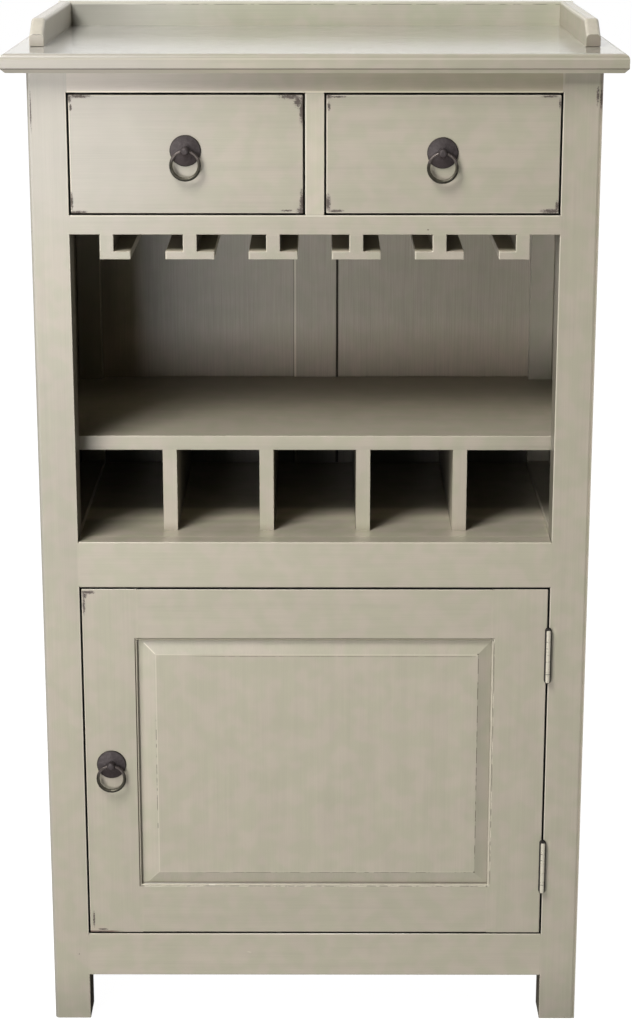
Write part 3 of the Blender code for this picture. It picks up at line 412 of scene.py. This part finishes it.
# The stile's paint is made lighter, as painted light.
frame_paint = brushed_paint("frame_paint", "Z", rubbed_edges=1.0, strength=1.21, marks_and_shade=frame_marks_and_shade)
joint_paint = brushed_paint("joint_paint", "Z", strength=1.02)
for node in ("rail_bottom", "rail_middle", "rail_under_drawers", "rail_frieze"):
    dress(node, rails_paint)
dress("stile_between_drawers", frame_paint, edge=0.0007)
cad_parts["stile_between_drawers"].modifiers["eased"].use_clamp_overlap = False
rail_joints = (("bottom", 0.0556, 0.1059), ("middle", 0.5251, 0.5749), ("drawers", 0.9165, 0.9360),
               ("frieze", 1.0655, 1.0866))
for side, middle in (("left", -POST_INNER), ("right", POST_INNER)):
    for level, low, high in rail_joints:
        joint_skin(f"joint_{level}_{side}", middle, JOINT_HALF, low, high, "carcass", joint_paint)
for level, middle in zip(("lower", "upper"), DRAWER_OPENING):
    joint_skin(f"joint_stile_{level}", 0.0, 0.0095, middle - 0.0010, middle + 0.0010, "carcass", rails_paint)


# The back: two rails and a muntin, with thin panels loose in their grooves. The side planks sit in the posts.
# Behind the bottles the back is darkened nearly to black, and the back, the muntin and the rear posts have
# their paint made darker, as painted shade inside the cabinet.
RACK = (0.55, 0.6690)
GRAIN_BROWN = (0.200, 0.165, 0.140, 1.0)


def back_grain_and_shade(place, facing, colour):
    """Fine dark grain, paler low down and in a band at the left as painted light, dark grooves by the muntin,
    and darkened nearly to black in the rack.
    """
    x, y, z = place.parts()
    inside = y.step(0.186, 0.180)
    grain = place.noise(0.0011, 0.0011, 0.09, detail=4.0, roughness=0.7).step(0.35, 0.70)
    colour = (grain * inside * 0.35).colour(colour, GRAIN_BROWN)
    # Painted light: the back is paler low down.
    colour = (z.step(0.775, 0.700) * inside).colour(colour, colour.scaled(1.27, 1.19, 1.18))
    # Painted light: a paler band at the left softens the left post's shadow.
    colour = colour.times(x.between(-0.242, -0.212, 0.012) * z.step(0.70, 0.74) * inside * 0.45 + 1.0)
    groove = x.between(0.0262, 0.0277, 0.0002) * 0.9 + x.between(-0.0274, -0.0262, 0.0002) * 0.4
    colour = (groove * inside).colour(colour, STAIN_AND_SHADE)
    return (z.between(*RACK, 0.0005) * inside * 0.75).colour(colour, STAIN_AND_SHADE)


def muntin_highlight_and_shade(place, facing, colour):
    """As the back, with a painted highlight on the left arris and painted shade on the right one."""
    x = place.parts()[0]
    low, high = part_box("rear_muntin")
    colour = (x.step(low[0] + 0.0028, low[0] + 0.0018) * 0.75).colour(colour, PALE_RUB_AND_HIGHLIGHT)
    return (x.step(high[0] - 0.0018, high[0] - 0.0008) * 0.9).colour(back_grain_and_shade(place, facing, colour), STAIN_AND_SHADE)


def side_shade(place, facing, colour):
    """Painted shade inside the cabinet, most on the left and in the rack."""
    x, _, z = place.parts()
    inside = x.size().step(0.2950, 0.2900)
    dim = z.between(*RACK, 0.0005) * 0.4 + x.step(0.0, -0.1) * 0.24 + 0.37
    return (inside * dim).colour(colour, STAIN_AND_SHADE)


# The muntin's and the back's paint is made darker, as painted shade inside the cabinet.
muntin_paint = brushed_paint("muntin_paint", "Z", strength=0.76, marks_and_shade=muntin_highlight_and_shade)
side_paint = brushed_paint("side_paint", "Z", marks_and_shade=side_shade)
back_paint = brushed_paint("back_paint", "Z", strength=0.79, marks_and_shade=back_grain_and_shade)
dress("rear_muntin", muntin_paint)
for node, finish in (("rear_rail_top", rails_paint), ("rear_rail_bottom", rails_paint),
                     ("back_panel_left", back_paint), ("back_panel_right", back_paint),
                     ("side_panel_left", side_paint), ("side_panel_right", side_paint)):
    dress(node, finish)


# The bottle rack: a deck on two battens, four upright dividers housed in it and a shelf over them, whose
# front covers the dividers' ends. Of painted boards, darkened inside the compartments as painted shade.
RACK_HALF = 0.2596


def rack_shade(place, facing, colour):
    """Painted shade in the compartments, on the undersides and low on the shelf's front, dimmer fronts at the
    right, and painted light and shade over the top faces, with the shelf darkest at the back.
    """
    x, y, z = place.parts()
    _, ahead, upward = facing.parts()
    hidden = z.between(0.577, 0.6695, 0.0008) * y.step(-0.128, -0.02) * 0.75
    dim = x.step(0.12, 0.26) * (0.0 - ahead).step(0.5, 0.9) * 0.19 - upward.step(0.8, 0.95) * 0.13
    rear, front = y.step(0.045, 0.135), y.step(-0.045, -0.100)
    depth = y.between(-0.035, 0.045, 0.025) * 0.22 - rear * 0.48 - front * 0.15
    on_shelf = upward.step(0.8, 0.95) * z.step(0.680, 0.684)
    light = 1.0 - dim + depth * on_shelf - z.between(0.6688, 0.6735, 0.001) * 0.06
    return (hidden.larger(upward.step(-0.5, -0.9) * 0.55)).colour(colour, STAIN_AND_SHADE).times(light)


def deck_painted_light(place, facing, colour):
    """Painted light and shade: the deck is paler a hand's breadth in and along its front edge, and a little
    darker between them.
    """
    y = place.parts()[1]
    paler = y.between(-0.084, -0.036, 0.010) * 0.62 + y.step(-0.140, -0.155) * 0.08
    return colour.times(paler - y.between(-0.138, -0.112, 0.008) * 0.06 + 1.0)


deck_paint = brushed_paint("deck_paint", "X", rubbed_edges=0.0, strength=1.12, polish=0.20, marks_and_shade=deck_painted_light)
shelf_paint = brushed_paint("shelf_paint", "X", rubbed_edges=1.0, marks_and_shade=rack_shade)
divider_paint = brushed_paint("divider_paint", "Z", rubbed_edges=1.0, marks_and_shade=rack_shade)
batten_paint = brushed_paint("batten_paint", "Y")
dress("bottle_deck", deck_paint, edge=0.0)
dress("bottle_shelf", shelf_paint)
for side in ("left", "right"):
    dress(f"deck_batten_{side}", batten_paint)
for number in range(1, 5):
    dress(f"bottle_divider_{number}", divider_paint)
paint_skin("shelf_facing", (-RACK_HALF, -0.1291, 0.66895), (RACK_HALF, -0.1288, 0.68405), "carcass",
           shelf_paint)
paint_skin("joint_deck", (-RACK_HALF, -0.1540, 0.5757), (RACK_HALF, -0.1500, 0.57606), "carcass", deck_paint)


# The rails that stemmed glasses hang from, screwed up under the drawers: tee sections, and an angle at each
# end. Wood, painted. Their fronts are flush with the rail above, and the paint runs over the joint.
HANGER_PITCH = 0.0884
HANGER_SHADE = (0.055, 0.040, 0.032, 1.0)


def hanger_highlight_and_shade(place, facing, colour):
    """Pale left arrises in front as painted highlight, painted shade behind the web and above the flange, and
    ledges lightened as painted light.
    """
    x, y, z = place.parts()
    from_web = ((x * (1.0 / HANGER_PITCH)).fraction() - 0.5) * HANGER_PITCH
    in_front = y.step(FRONT + 0.0010, FRONT + 0.0005)
    web_rim = from_web.between(-0.0080, -0.0063, 0.0002) * z.step(0.8976, 0.8980)
    rim = web_rim.larger(from_web.between(-0.0280, -0.0244, 0.0002))
    colour = (rim * in_front * 0.40).colour(colour, PALE_RUB_AND_HIGHLIGHT)
    hidden = z.step(0.8972, 0.8985) * y.step(FRONT + 0.0010, FRONT + 0.0022)
    colour = (hidden * (from_web.step(0.0, 0.004) * 0.27 + 0.55)).colour(colour, HANGER_SHADE)
    # Painted light on the ledges near the front.
    ledge = facing.parts()[2].step(0.8, 0.95) * y.step(FRONT + 0.030, FRONT + 0.005)
    return colour.times(ledge * 0.9 + 1.0)


hanger_paint = brushed_paint("hanger_paint", "Y", rubbed_edges=1.0, strength=0.97, marks_and_shade=hanger_highlight_and_shade)
for number in range(1, 7):
    dress(f"glass_hanger_{number}", hanger_paint)
    joint_skin(f"joint_hanger_{number}", (number - 3.5) * HANGER_PITCH, 0.0068, 0.9148, 0.9168, "carcass",
               rails_paint)


# Boards inside the body: what the drawers run on, their guides, the cupboard's floor and the door's stop.
# The boards are painted once, and the guides are left bare and planed.
board_paint = brushed_paint("board_paint", "X", strength=0.85)
for node in ("dust_board", "cupboard_floor", "door_stop"):
    dress(node, board_paint)


def planed_wood(name, along):
    """Bare wood with its rings and fibres along one axis."""
    finish, start = empty_finish(name)
    place = start.node("TexCoord", out=3)
    fibres = place.noise(*lengths(along, 0.0009, 0.05), detail=4.0, roughness=0.6)
    rings = place.noise(*lengths(along, 0.012, 0.5), detail=2.0)
    bands = (rings * 9.0).fraction()
    colour = (bands * 0.55 + fibres * 0.45).colour((0.50, 0.35, 0.20, 1.0), (0.66, 0.50, 0.32, 1.0))
    bump = start.node("Bump", {}, {"Strength": 0.2, "Distance": 0.0004, "Height": fibres})
    shader = start.node("BsdfPrincipled", {}, {"Base Color": colour, "Roughness": fibres * 0.2 + 0.5,
                                               "Normal": bump})
    start.node("OutputMaterial", {}, {"Surface": shader})
    return finish


guide_wood = planed_wood("guide_wood", "Y")
for where in ("left", "middle", "right"):
    finish_node(f"drawer_guide_{where}", guide_wood)


# The top: one slab with a moulded edge, and a low gallery that stands on three sides of it, all of painted
# wood. The slab is the glossiest piece. A pale line along the lower part of its round is a painted highlight,
# and its colour carries painted light, shade and a cool painted reflection on the top.
GALLERY_INNER = 0.2886
GALLERY_FRONT, GALLERY_REAR = -0.1136, 0.1856
FILLET = 0.0007
FILLET_LOW, FILLET_HIGH = 1.1069, 1.1076
OLD_CRACK = (0.060, 0.045, 0.030, 1.0)


def slab_highlight_and_shade(place, facing, colour):
    """A painted highlight and a brown line along the moulding, painted shade on the front face and the round,
    painted light on the chamfer below, a cooler upper face as painted reflection, and painted light and shade
    across the top.
    """
    x, y, z = place.parts()
    _, ahead, upward = facing.parts()
    # Painted highlight along the lower part of the round.
    cream = z.between(1.1012, 1.1026, 0.0004) * upward.step(0.97, 0.90)
    colour = (cream * (x.step(0.25, -0.10) * 0.25 + 0.45)).colour(colour, PALE_RUB_AND_HIGHLIGHT)
    foot_line = z.between(1.0908, 1.0926, 0.0004) * upward.step(0.3, 0.0)
    colour = (foot_line * (x.step(0.32, -0.20) * 0.15 + 0.45)).colour(colour, BARE_BROWN)
    # Painted shade on the front face and the round, and painted light on the chamfer below.
    face = (0.0 - ahead).step(0.5, 0.9) * (x.step(-0.02, -0.30) * 0.10 + x.step(-0.05, 0.30) * 0.10 + 0.07)
    rounded = z.step(1.1008, 1.1016) * upward.step(0.97, 0.90) * (0.07 - x.step(0.0, 0.30) * 0.09)
    chamfer = upward.step(-0.5, -0.65) * upward.step(-0.97, -0.9) * 0.25
    # Painted reflection: level faces are cooler and greyer.
    level = upward.step(0.97, 0.99)
    colour = level.colour(colour, colour.scaled(1.02, 1.07, 1.15))
    # Painted light and shade across the top by depth, darker beside the left gallery and at the front right.
    rear_left = x.step(-0.175, -0.235) * y.step(-0.03, 0.08) * 0.08
    right_front = x.step(-0.05, 0.25) * y.step(0.02, -0.10) * 0.10
    depth = y.step(-0.19, 0.02) * 0.15 + y.step(0.05, 0.15) * 0.06 - rear_left - right_front - 0.04
    return colour.times(1.0 - face - rounded + chamfer + level * depth)


def gallery_back_highlight_and_shade(place, facing, colour):
    """A broken dark line under the upper edge, a face made lighter and cooler as painted light, a pale upper
    edge as painted highlight, and a left end darkened as painted shade.
    """
    x, y, z = place.parts()
    broken = place.noise(0.018, detail=3.0).step(0.42, 0.52)
    line = z.between(1.1312, 1.1318, 0.0003) * broken * x.step(-0.23, -0.15) * y.step(0.19, 0.187)
    colour = (z.step(1.1318, 1.1326) * 0.5).colour(colour.scaled(1.06, 1.12, 1.16), PALE_RUB_AND_HIGHLIGHT)
    dim_end = x.step(-0.17, -0.28) * z.step(1.1330, 1.1300) * y.step(0.190, 0.187) * 0.24
    return (line * 0.75).colour(colour, OLD_CRACK).times(1.0 - dim_end)


def gallery_marks(place, facing, colour):
    """A darker right nose, and a fine split across the left one."""
    x, y, z = place.parts()
    ahead = facing.parts()[1]
    nose = y.step(-0.1124, -0.1128) * (0.0 - ahead).step(0.8, 0.95)
    colour = (nose * x.step(-0.1, 0.1) * 0.40).colour(colour, GRIME)
    crack = place.noise(0.004, detail=3.0) * 0.0024 + z
    split = crack.between(1.1203, 1.1209, 0.0002) * x.step(0.0, -0.1) * nose
    return (split * 0.8).colour(colour, BARE_BROWN)


top_paint = brushed_paint("top_paint", "X", rubbed_edges=0.0, polish=0.25, strength=1.06, marks_and_shade=slab_highlight_and_shade)
# The gallery's back has its paint made lighter, as painted light.
gallery_back_paint = brushed_paint("gallery_back_paint", "X", strength=1.34, polish=0.12,
                                   marks_and_shade=gallery_back_highlight_and_shade)
gallery_paint = brushed_paint("gallery_paint", "Y", strength=1.12, polish=0.12, marks_and_shade=gallery_marks)
dress("top_slab", top_paint, edge=0.0)
dress("gallery_back", gallery_back_paint)
for side in ("left", "right"):
    dress(f"gallery_{side}", gallery_paint)
paint_skin("foot_gallery_back", (-GALLERY_INNER, 0.1848, FILLET_LOW),
           (GALLERY_INNER, GALLERY_REAR, FILLET_HIGH), "carcass", gallery_back_paint)
for side, low_x in (("left", -GALLERY_INNER), ("right", GALLERY_INNER - FILLET)):
    paint_skin(f"foot_gallery_{side}", (low_x, GALLERY_FRONT, FILLET_LOW),
               (low_x + FILLET, GALLERY_REAR, FILLET_HIGH), "carcass", gallery_paint)


# The drawers: a front that fills its opening with a black gap round it, on a plain tray of bare wood. The
# fronts are rubbed to the wood at their corners, and their sides are stained dark, which also serves as
# painted shade in the gaps.
def drawer_rims_and_gap_shade(place, facing, colour):
    """Pale arrises in front, partly painted highlight, and stain on the sides behind them that is also
    painted shade in the gaps.
    """
    x, y, z = place.parts()
    rim = (z.step(1.0610, 1.0617) * 0.55).larger(z.step(0.9402, 0.9396) * 0.35)
    rim = rim.larger(x.step(-0.2562, -0.2570) * 0.9).larger(x.step(0.2564, 0.2571) * 0.4)
    rim = rim.larger(x.between(0.0100, 0.0134, 0.0003) * 0.4)
    colour = rim.colour(colour, PALE_RUB_AND_HIGHLIGHT)
    return y.step(FRONT + 0.0005, FRONT + 0.0008).colour(colour, STAIN_AND_SHADE)


drawer_wear = {
    "left": [(-247.0, 1061.2, 18.0, 2.4), (-256.0, 1058.0, 2.4, 5.0), (-255.2, 1049.7, 2.0, 4.6),
             (-256.6, 950.6, 2.2, 13.0), (-249.5, 939.9, 13.5, 2.0), (-26.0, 1061.1, 16.0, 3.6),
             (-13.3, 1048.0, 3.8, 21.0), (-17.5, 1056.0, 6.0, 9.0), (-13.6, 950.7, 3.4, 18.0),
             (-14.5, 941.0, 6.0, 5.0), (-29.8, 941.6, 7.5, 1.5)],
    "right": [(22.5, 1060.8, 14.0, 1.5), (14.6, 1061.0, 4.0, 3.0), (15.0, 1051.3, 2.4, 6.0),
              (14.2, 949.6, 3.6, 12.0), (22.9, 941.2, 10.0, 2.0), (245.3, 1061.2, 12.0, 1.7),
              (256.4, 1054.0, 1.5, 8.0), (249.7, 940.9, 14.0, 3.2), (255.8, 946.0, 2.8, 8.0)]}
tray_wood = planed_wood("tray_wood", "X")
for side in ("left", "right"):
    drawer_paint = brushed_paint(f"drawer_{side}_paint", "X", drawer_wear[side], rubbed_edges=1.0,
                                 marks_and_shade=drawer_rims_and_gap_shade)
    dress(f"drawer_{side}_front", drawer_paint, edge=0.0008)
    finish_node(f"drawer_{side}_tray", tray_wood)


# The door: stiles and rails round a raised panel that is loose in their grooves. A bead runs along the
# moulding, with dark glaze on both sides of it, most on the left and at the top, where it is also painted
# shade.
MOULDING_HALF = 0.2000
MOULDING_FOOT, MOULDING_TOP = 0.1660, 0.4650
FIELD_MIDDLE_X, FIELD_HALF_X = 0.0020, 0.1797
FIELD_MIDDLE_Z, FIELD_HALF_Z = 0.3145, 0.1313
RED_BROWN = (0.100, 0.035, 0.022, 1.0)
PINK_RUB = (0.560, 0.440, 0.370, 1.0)
GROOVE_GLAZE_AND_SHADE = (0.060, 0.040, 0.023, 1.0)
PANEL_GLAZE = (0.075, 0.055, 0.035, 1.0)


def door_wear_and_shade(place, facing, colour):
    """Pale arrises, partly painted highlight, a worn low corner, edges darkened as painted shade in the gaps,
    and dark glaze on both sides of the bead that is also painted shade, most on the left and at the top.
    """
    x, y, z = place.parts()
    outline = 1.0 - x.between(-0.2572, 0.2572, 0.0002) * z.between(0.1098, 0.5212, 0.0002)
    between_hinges = x.step(0.2562, 0.2569) * z.between(0.228, 0.409, 0.002)
    colour = (between_hinges * 0.5).larger(x.step(-0.2562, -0.2569) * 0.2).colour(colour, PALE_RUB_AND_HIGHLIGHT)
    low_corner = x.step(-0.2350, -0.2480) * z.step(0.1210, 0.1150)
    colour = (low_corner * 0.35).colour(colour, PINK_RUB)
    low_arris = x.step(-0.2180, -0.2360) * z.step(0.1112, 0.1104)
    colour = (low_arris * 0.85).colour(colour, RED_BROWN)
    colour = (y.step(FRONT + 0.0005, FRONT + 0.0008) * outline).colour(colour, STAIN_AND_SHADE)
    from_side = MOULDING_HALF - x.size()
    from_end = (MOULDING_TOP - z).smaller(z - MOULDING_FOOT)
    into = from_side.smaller(from_end)
    on_side = (from_end - from_side).step(-0.0002, 0.0002)
    left, right = on_side * x.step(0.1, -0.1), on_side * x.step(-0.1, 0.1)
    top, bottom = (1.0 - on_side) * z.step(0.30, 0.32), (1.0 - on_side) * z.step(0.32, 0.30)
    broken = place.noise(0.010, detail=3.0).step(0.45, 0.55)
    outer_share = left * 0.95 + top * 0.50 + (right + bottom) * broken * 0.4
    inner_share = left * 0.70 + top * 0.60 + right * 0.40 + bottom * 0.70
    grooves = into.between(-0.0003, 0.0010, 0.0002) * outer_share + into.step(0.0021, 0.0025) * inner_share
    return (grooves * y.step(FRONT + 0.0040, FRONT + 0.0035)).colour(colour, GROOVE_GLAZE_AND_SHADE)


def panel_glaze_and_shade(place, facing, colour):
    """The raised field has a pale edge, partly painted highlight, with dark glaze outside it. The slopes are
    dimmer on the right and below as painted shade, with pale mitres as painted highlight and glaze at their
    feet. At the top the slope's colour and its dark line are painted down over the field as painted light and
    shade."""
    x, _, z = place.parts()
    over_x = (x - FIELD_MIDDLE_X).size() - FIELD_HALF_X
    over_z = (z - FIELD_MIDDLE_Z).size() - FIELD_HALF_Z
    over = over_x.larger(over_z)
    upright_side = (over_x - over_z).step(-0.0003, 0.0003)
    level_side = 1.0 - upright_side
    left, high = x.step(0.003, 0.001), z.step(0.3140, 0.3150)
    broken = place.noise(0.010, detail=3.0).step(0.42, 0.52)
    rim = over.between(-0.0012, 0.0002, 0.0003)
    pale = rim * (upright_side * left * 0.45 + level_side * (high * x.step(-0.12, -0.15) * 0.4 + 0.15))
    mitre = (over_x - over_z).size().step(0.0012, 0.0005) * over.between(0.0003, 0.0128, 0.0004)
    pale = pale.larger(mitre * left * (high * 0.75 + 0.25))
    colour = pale.colour(colour, PALE_RUB_AND_HIGHLIGHT)

    ends = level_side * x.step(-0.15, -0.10) * (high * (1.0 - broken) * 0.4 + broken * 0.6)
    sides = upright_side * broken * ((1.0 - left) * 0.75 + left * z.between(0.2566, 0.3702, 0.004) * 0.8)
    dark = over.between(0.0001, 0.0008, 0.0002) * (sides + ends * (1.0 - high))
    # Painted shade: at the top the field's dark edge line is drawn lower than the real crease.
    lowered = over_x.larger(over_z + high * 0.0027)
    lowered_line = lowered.between(-0.0003, 0.0005, 0.0002) * (over_z - over_x).step(-0.0030, -0.0024)
    dark = dark.larger(lowered_line * ends * high)
    foot = (x.size() - 0.1967).larger((z - 0.3155).size() - 0.1462).step(-0.0009, -0.0003)
    tick = (x + 0.1780).size().step(0.0006, 0.0003) * z.between(0.2373, 0.2433, 0.0006)
    dark = dark.larger(foot * 0.45).larger(tick * 0.7)
    for dot_x, dot_z in ((0.1817, 0.4458), (0.1817, 0.1832)):
        dark = dark.larger(place.away(dot_x, dot_z).step(0.0012, 0.0006) * 0.8)
    # Painted shade on the slopes at the right and below, and painted light in the band at the top.
    slope = over.step(0.0, 0.001) * (upright_side * (1.0 - left) * 0.13 + level_side * (1.0 - high) * 0.09)
    band = lowered.step(0.0001, 0.0006) * over.step(0.0004, 0.0001) * high * x.step(-0.15, -0.05) * 0.11
    return dark.colour(colour, PANEL_GLAZE).times(1.02 - slope + band)


door_wear = [(-250.5, 518.4, 11.0, 2.6), (-254.4, 515.0, 3.4, 4.5), (-255.4, 502.4, 2.0, 13.0),
             (-253.3, 125.1, 1.6, 12.5), (-243.2, 112.6, 6.5, 1.7), (-245.0, 109.6, 12.0, 1.2)]
door_paint = brushed_paint("door_paint", "Z", door_wear, rubbed_edges=0.9, marks_and_shade=door_wear_and_shade)
door_rail_paint = brushed_paint("door_rail_paint", "X", door_wear, rubbed_edges=0.8, marks_and_shade=door_wear_and_shade)
panel_paint = brushed_paint("panel_paint", "Z", marks_and_shade=panel_glaze_and_shade)
for node, finish in (("door_stile_left", door_paint), ("door_stile_right", door_paint),
                     ("door_rail_top", door_rail_paint), ("door_rail_bottom", door_rail_paint)):
    dress(node, finish)
dress("door_panel", panel_paint, edge=0.0)
for side, middle in (("left", -0.1967), ("right", 0.1967)):
    for level, low, high in (("bottom", 0.1103, 0.1655), ("top", 0.4655, 0.5207)):
        joint_skin(f"joint_door_{level}_{side}", middle, JOINT_HALF, low, high, "door", joint_paint)


def mitred_frame(name, low, high, profile, body, finish):
    """A moulding round a rectangle. Its profile is a closed row of points: how far inward, and how deep."""
    points = []
    for inward, deep in profile:
        left, bottom, right, top = low[0] + inward, low[1] + inward, high[0] - inward, high[1] - inward
        points += [(left, deep, bottom), (right, deep, bottom), (right, deep, top), (left, deep, top)]
    count = len(profile)
    faces = []
    for ring in range(count):
        after = (ring + 1) % count
        for corner in range(4):
            turn = (corner + 1) % 4
            faces.append((4 * ring + corner, 4 * after + corner, 4 * after + turn, 4 * ring + turn))
    add_piece(name, points, faces, finish, body)


BEAD_BROWN = (0.240, 0.220, 0.150, 1.0)
BEAD_CHIP = (0.80, 0.76, 0.66, 1.0)


def bead_highlight_and_wear(place, facing, colour):
    """The bead is pale, partly rubbed paint and partly painted highlight, most on the right and below,
    brownish along the top, and chipped once.
    """
    x, _, z = place.parts()
    right_or_low = x.step(0.194, 0.196).larger(z.step(0.172, 0.170))
    rubbed = place.noise(0.012, detail=3.0, roughness=0.7).step(0.30, 0.55)
    colour = (right_or_low * (rubbed * 0.4 + 0.2) + 0.12).colour(colour, PALE_RUB_AND_HIGHLIGHT)
    colour = (z.step(0.4615, 0.4625) * 0.7).colour(colour, BEAD_BROWN)
    chip = place.away(-0.1173, 0.1689, 220.0, 500.0).step(1.1, 0.8)
    return chip.colour(colour, BEAD_CHIP)


bead_paint = brushed_paint("bead_paint", "Z", rubbed_edges=0.25, marks_and_shade=bead_highlight_and_wear)
bead_profile = [(0.0010, FRONT + 0.0016), (0.0010, FRONT + 0.0003), (0.0013, FRONT - 0.0001),
                (0.0018, FRONT - 0.0001), (0.0021, FRONT + 0.0004), (0.0021, FRONT + 0.0026)]
mitred_frame("door_bead", (-MOULDING_HALF, MOULDING_FOOT), (MOULDING_HALF, MOULDING_TOP), bead_profile,
             "door", bead_paint)


# Two butt hinges of steel, painted with the wood. One leaf is on the post with the pin, the other on the
# door. The paint has gone pale on the barrels. Where they come to the wood painted shade darkens them, and a
# dark plate on each side stands for the shadow round the barrel.
HINGE_X = 0.2590
SHADE_PLATE_HALF = 0.0322


def hinge_wear_and_shade(place, facing, colour):
    """Pale paint with bare spots, dark joints between the knuckles, and painted shade beside and behind the
    barrel.
    """
    x, y, z = place.parts()
    spots = place.noise(0.0015, detail=3.0, roughness=0.7)
    colour = (spots.step(0.25, 0.50) * 0.75).colour(colour, PALE_RUB_AND_HIGHLIGHT)
    colour = (spots.step(0.36, 0.30) * 0.8).colour(colour, BARE_BROWN)
    behind_barrel = y.step(-0.1838, -0.1830).larger(from_hinge(z).step(0.0300, 0.0310))
    pin = (z - 0.4145).size().step(0.0008, 0.0003) * (x - 0.2588).size().step(0.0010, 0.0004)
    shade_and_joints = behind_barrel.larger((x - HINGE_X).size().step(0.0025, 0.0030)).larger(pin)
    left_part = x.step(0.2588, 0.2582)
    for from_middle, reach in ((0.0175, left_part), (0.0097, left_part), (-0.0204, 1.0)):
        for middle in HINGE_HEIGHTS:
            knuckle_joint = (z - (middle + from_middle)).size().step(0.0005, 0.0002)
            shade_and_joints = shade_and_joints.larger(knuckle_joint * reach * 0.8)
    return shade_and_joints.colour(colour, STAIN_AND_SHADE)


def barrel_shade_plate(name, middle, side, body):
    """A dark plate of painted shade on one side of a hinge's barrel, where its mortise and shadow are: thin,
    with both ends rounded.
    """
    outline = [(0.0003, -SHADE_PLATE_HALF), (0.0003, SHADE_PLATE_HALF)]
    for step in range(7):
        turn = math.radians(15.0 * (6 - step))
        outline.append((0.0003 + 0.0034 * math.cos(turn), 0.0290 + 0.0035 * math.sin(turn)))
    outline += [(x, -z) for x, z in reversed(outline[2:])]
    count = len(outline)
    corners = [(HINGE_X + side * x, deep, middle + z) for deep in (FRONT - 0.0001, FRONT + 0.0002)
               for x, z in outline]
    ends = [tuple(range(count)), tuple(reversed(range(count, 2 * count)))]
    walls = [(n, (n + 1) % count, count + (n + 1) % count, count + n) for n in range(count)]
    add_piece(name, corners, ends + walls, barrel_shade_paint, body)


barrel_shade_paint = brushed_paint("barrel_shade_paint", "Z", strength=0.06)
hinge_paint = brushed_paint("hinge_paint", "Z", rubbed_edges=0.0, strength=1.15, marks_and_shade=hinge_wear_and_shade)
for level, middle in zip(("upper", "lower"), HINGE_HEIGHTS):
    barrel_shade_plate(f"mortise_{level}_post", middle, 1.0, "carcass")
    barrel_shade_plate(f"mortise_{level}_door", middle, -1.0, "door")
    finish_node(f"hinge_{level}_post_leaf", hinge_paint)
    finish_node(f"hinge_{level}_door_leaf", hinge_paint)


# Three ring pulls of dark cast iron: a domed disc with a boss, and a loose ring through the boss. The ring is
# paler over its upper part, partly rubbed by fingers and partly painted highlight, and paler inside as
# painted light. The disc is nearly black along its rim.
RING_DROP = 0.0146
PULLS = (("door", -0.2290, 0.3155), ("drawer_left", -0.1360, 1.00475), ("drawer_right", 0.1345, 1.00245))
DISC_TONES = ((0.052, 0.042, 0.043, 1.0), (0.082, 0.069, 0.070, 1.0))
RING_TONES = ((0.020, 0.018, 0.011, 1.0), (0.040, 0.036, 0.024, 1.0))


def iron_finish(name, centre_x, centre_z, tones, shading, gloss):
    """Pitted cast iron in two tones. The shading changes the colour by the distance from a centre and by the
    height over it, and the gloss is how much the pits roughen the iron and how rough it is between them."""
    finish, start = empty_finish(name)
    place = start.node("TexCoord", out=3)
    patches = place.noise(0.004, detail=4.0, roughness=0.7).step(0.35, 0.65)
    pits = place.noise(0.0011, detail=3.0, roughness=0.6)
    colour = shading(patches.colour(*tones), place.away(centre_x, centre_z), place.parts()[2] - centre_z)
    bump = start.node("Bump", {}, {"Strength": 0.35, "Distance": 0.0004, "Height": pits + patches})
    shader = start.node("BsdfPrincipled", {}, {"Base Color": colour, "Metallic": 0.5,
                                               "Roughness": pits * gloss[0] + gloss[1], "Normal": bump})
    start.node("OutputMaterial", {}, {"Surface": shader})
    return finish


def ring_shading(colour, away, above):
    """Paler inside the ring as painted light, and over the upper part, rubbed by fingers and also painted
    highlight.
    """
    colour = (away.step(0.0150, 0.0140) * 0.8).colour(colour, (0.110, 0.100, 0.072, 1.0))
    return (above.step(0.001, 0.008) * 0.8).colour(colour, (0.130, 0.108, 0.102, 1.0))


def disc_shading(colour, away, above):
    """Darker inside the ring and below, with fine turned rings and a nearly black rim."""
    inside_ring = away.step(0.0100, 0.0070) * above.step(0.0, -0.004)
    low_part = above.step(0.002, -0.012).larger(inside_ring)
    colour = (low_part * 0.6).colour(colour, (0.040, 0.026, 0.026, 1.0))
    colour = colour.times((away * 5200.0).wave() * 0.07 + 1.0)
    return (away.step(0.0148, 0.0158) * 0.7).colour(colour, (0.026, 0.022, 0.016, 1.0))


for where, pull_x, pull_z in PULLS:
    disc_iron = iron_finish(f"disc_iron_{where}", pull_x, pull_z, DISC_TONES, disc_shading, (0.25, 0.38))
    ring_iron = iron_finish(f"ring_iron_{where}", pull_x, pull_z - RING_DROP, RING_TONES, ring_shading,
                            (0.2, 0.25))
    finish_node(f"rosette_{where}", disc_iron)
    finish_node(f"ring_{where}", ring_iron)
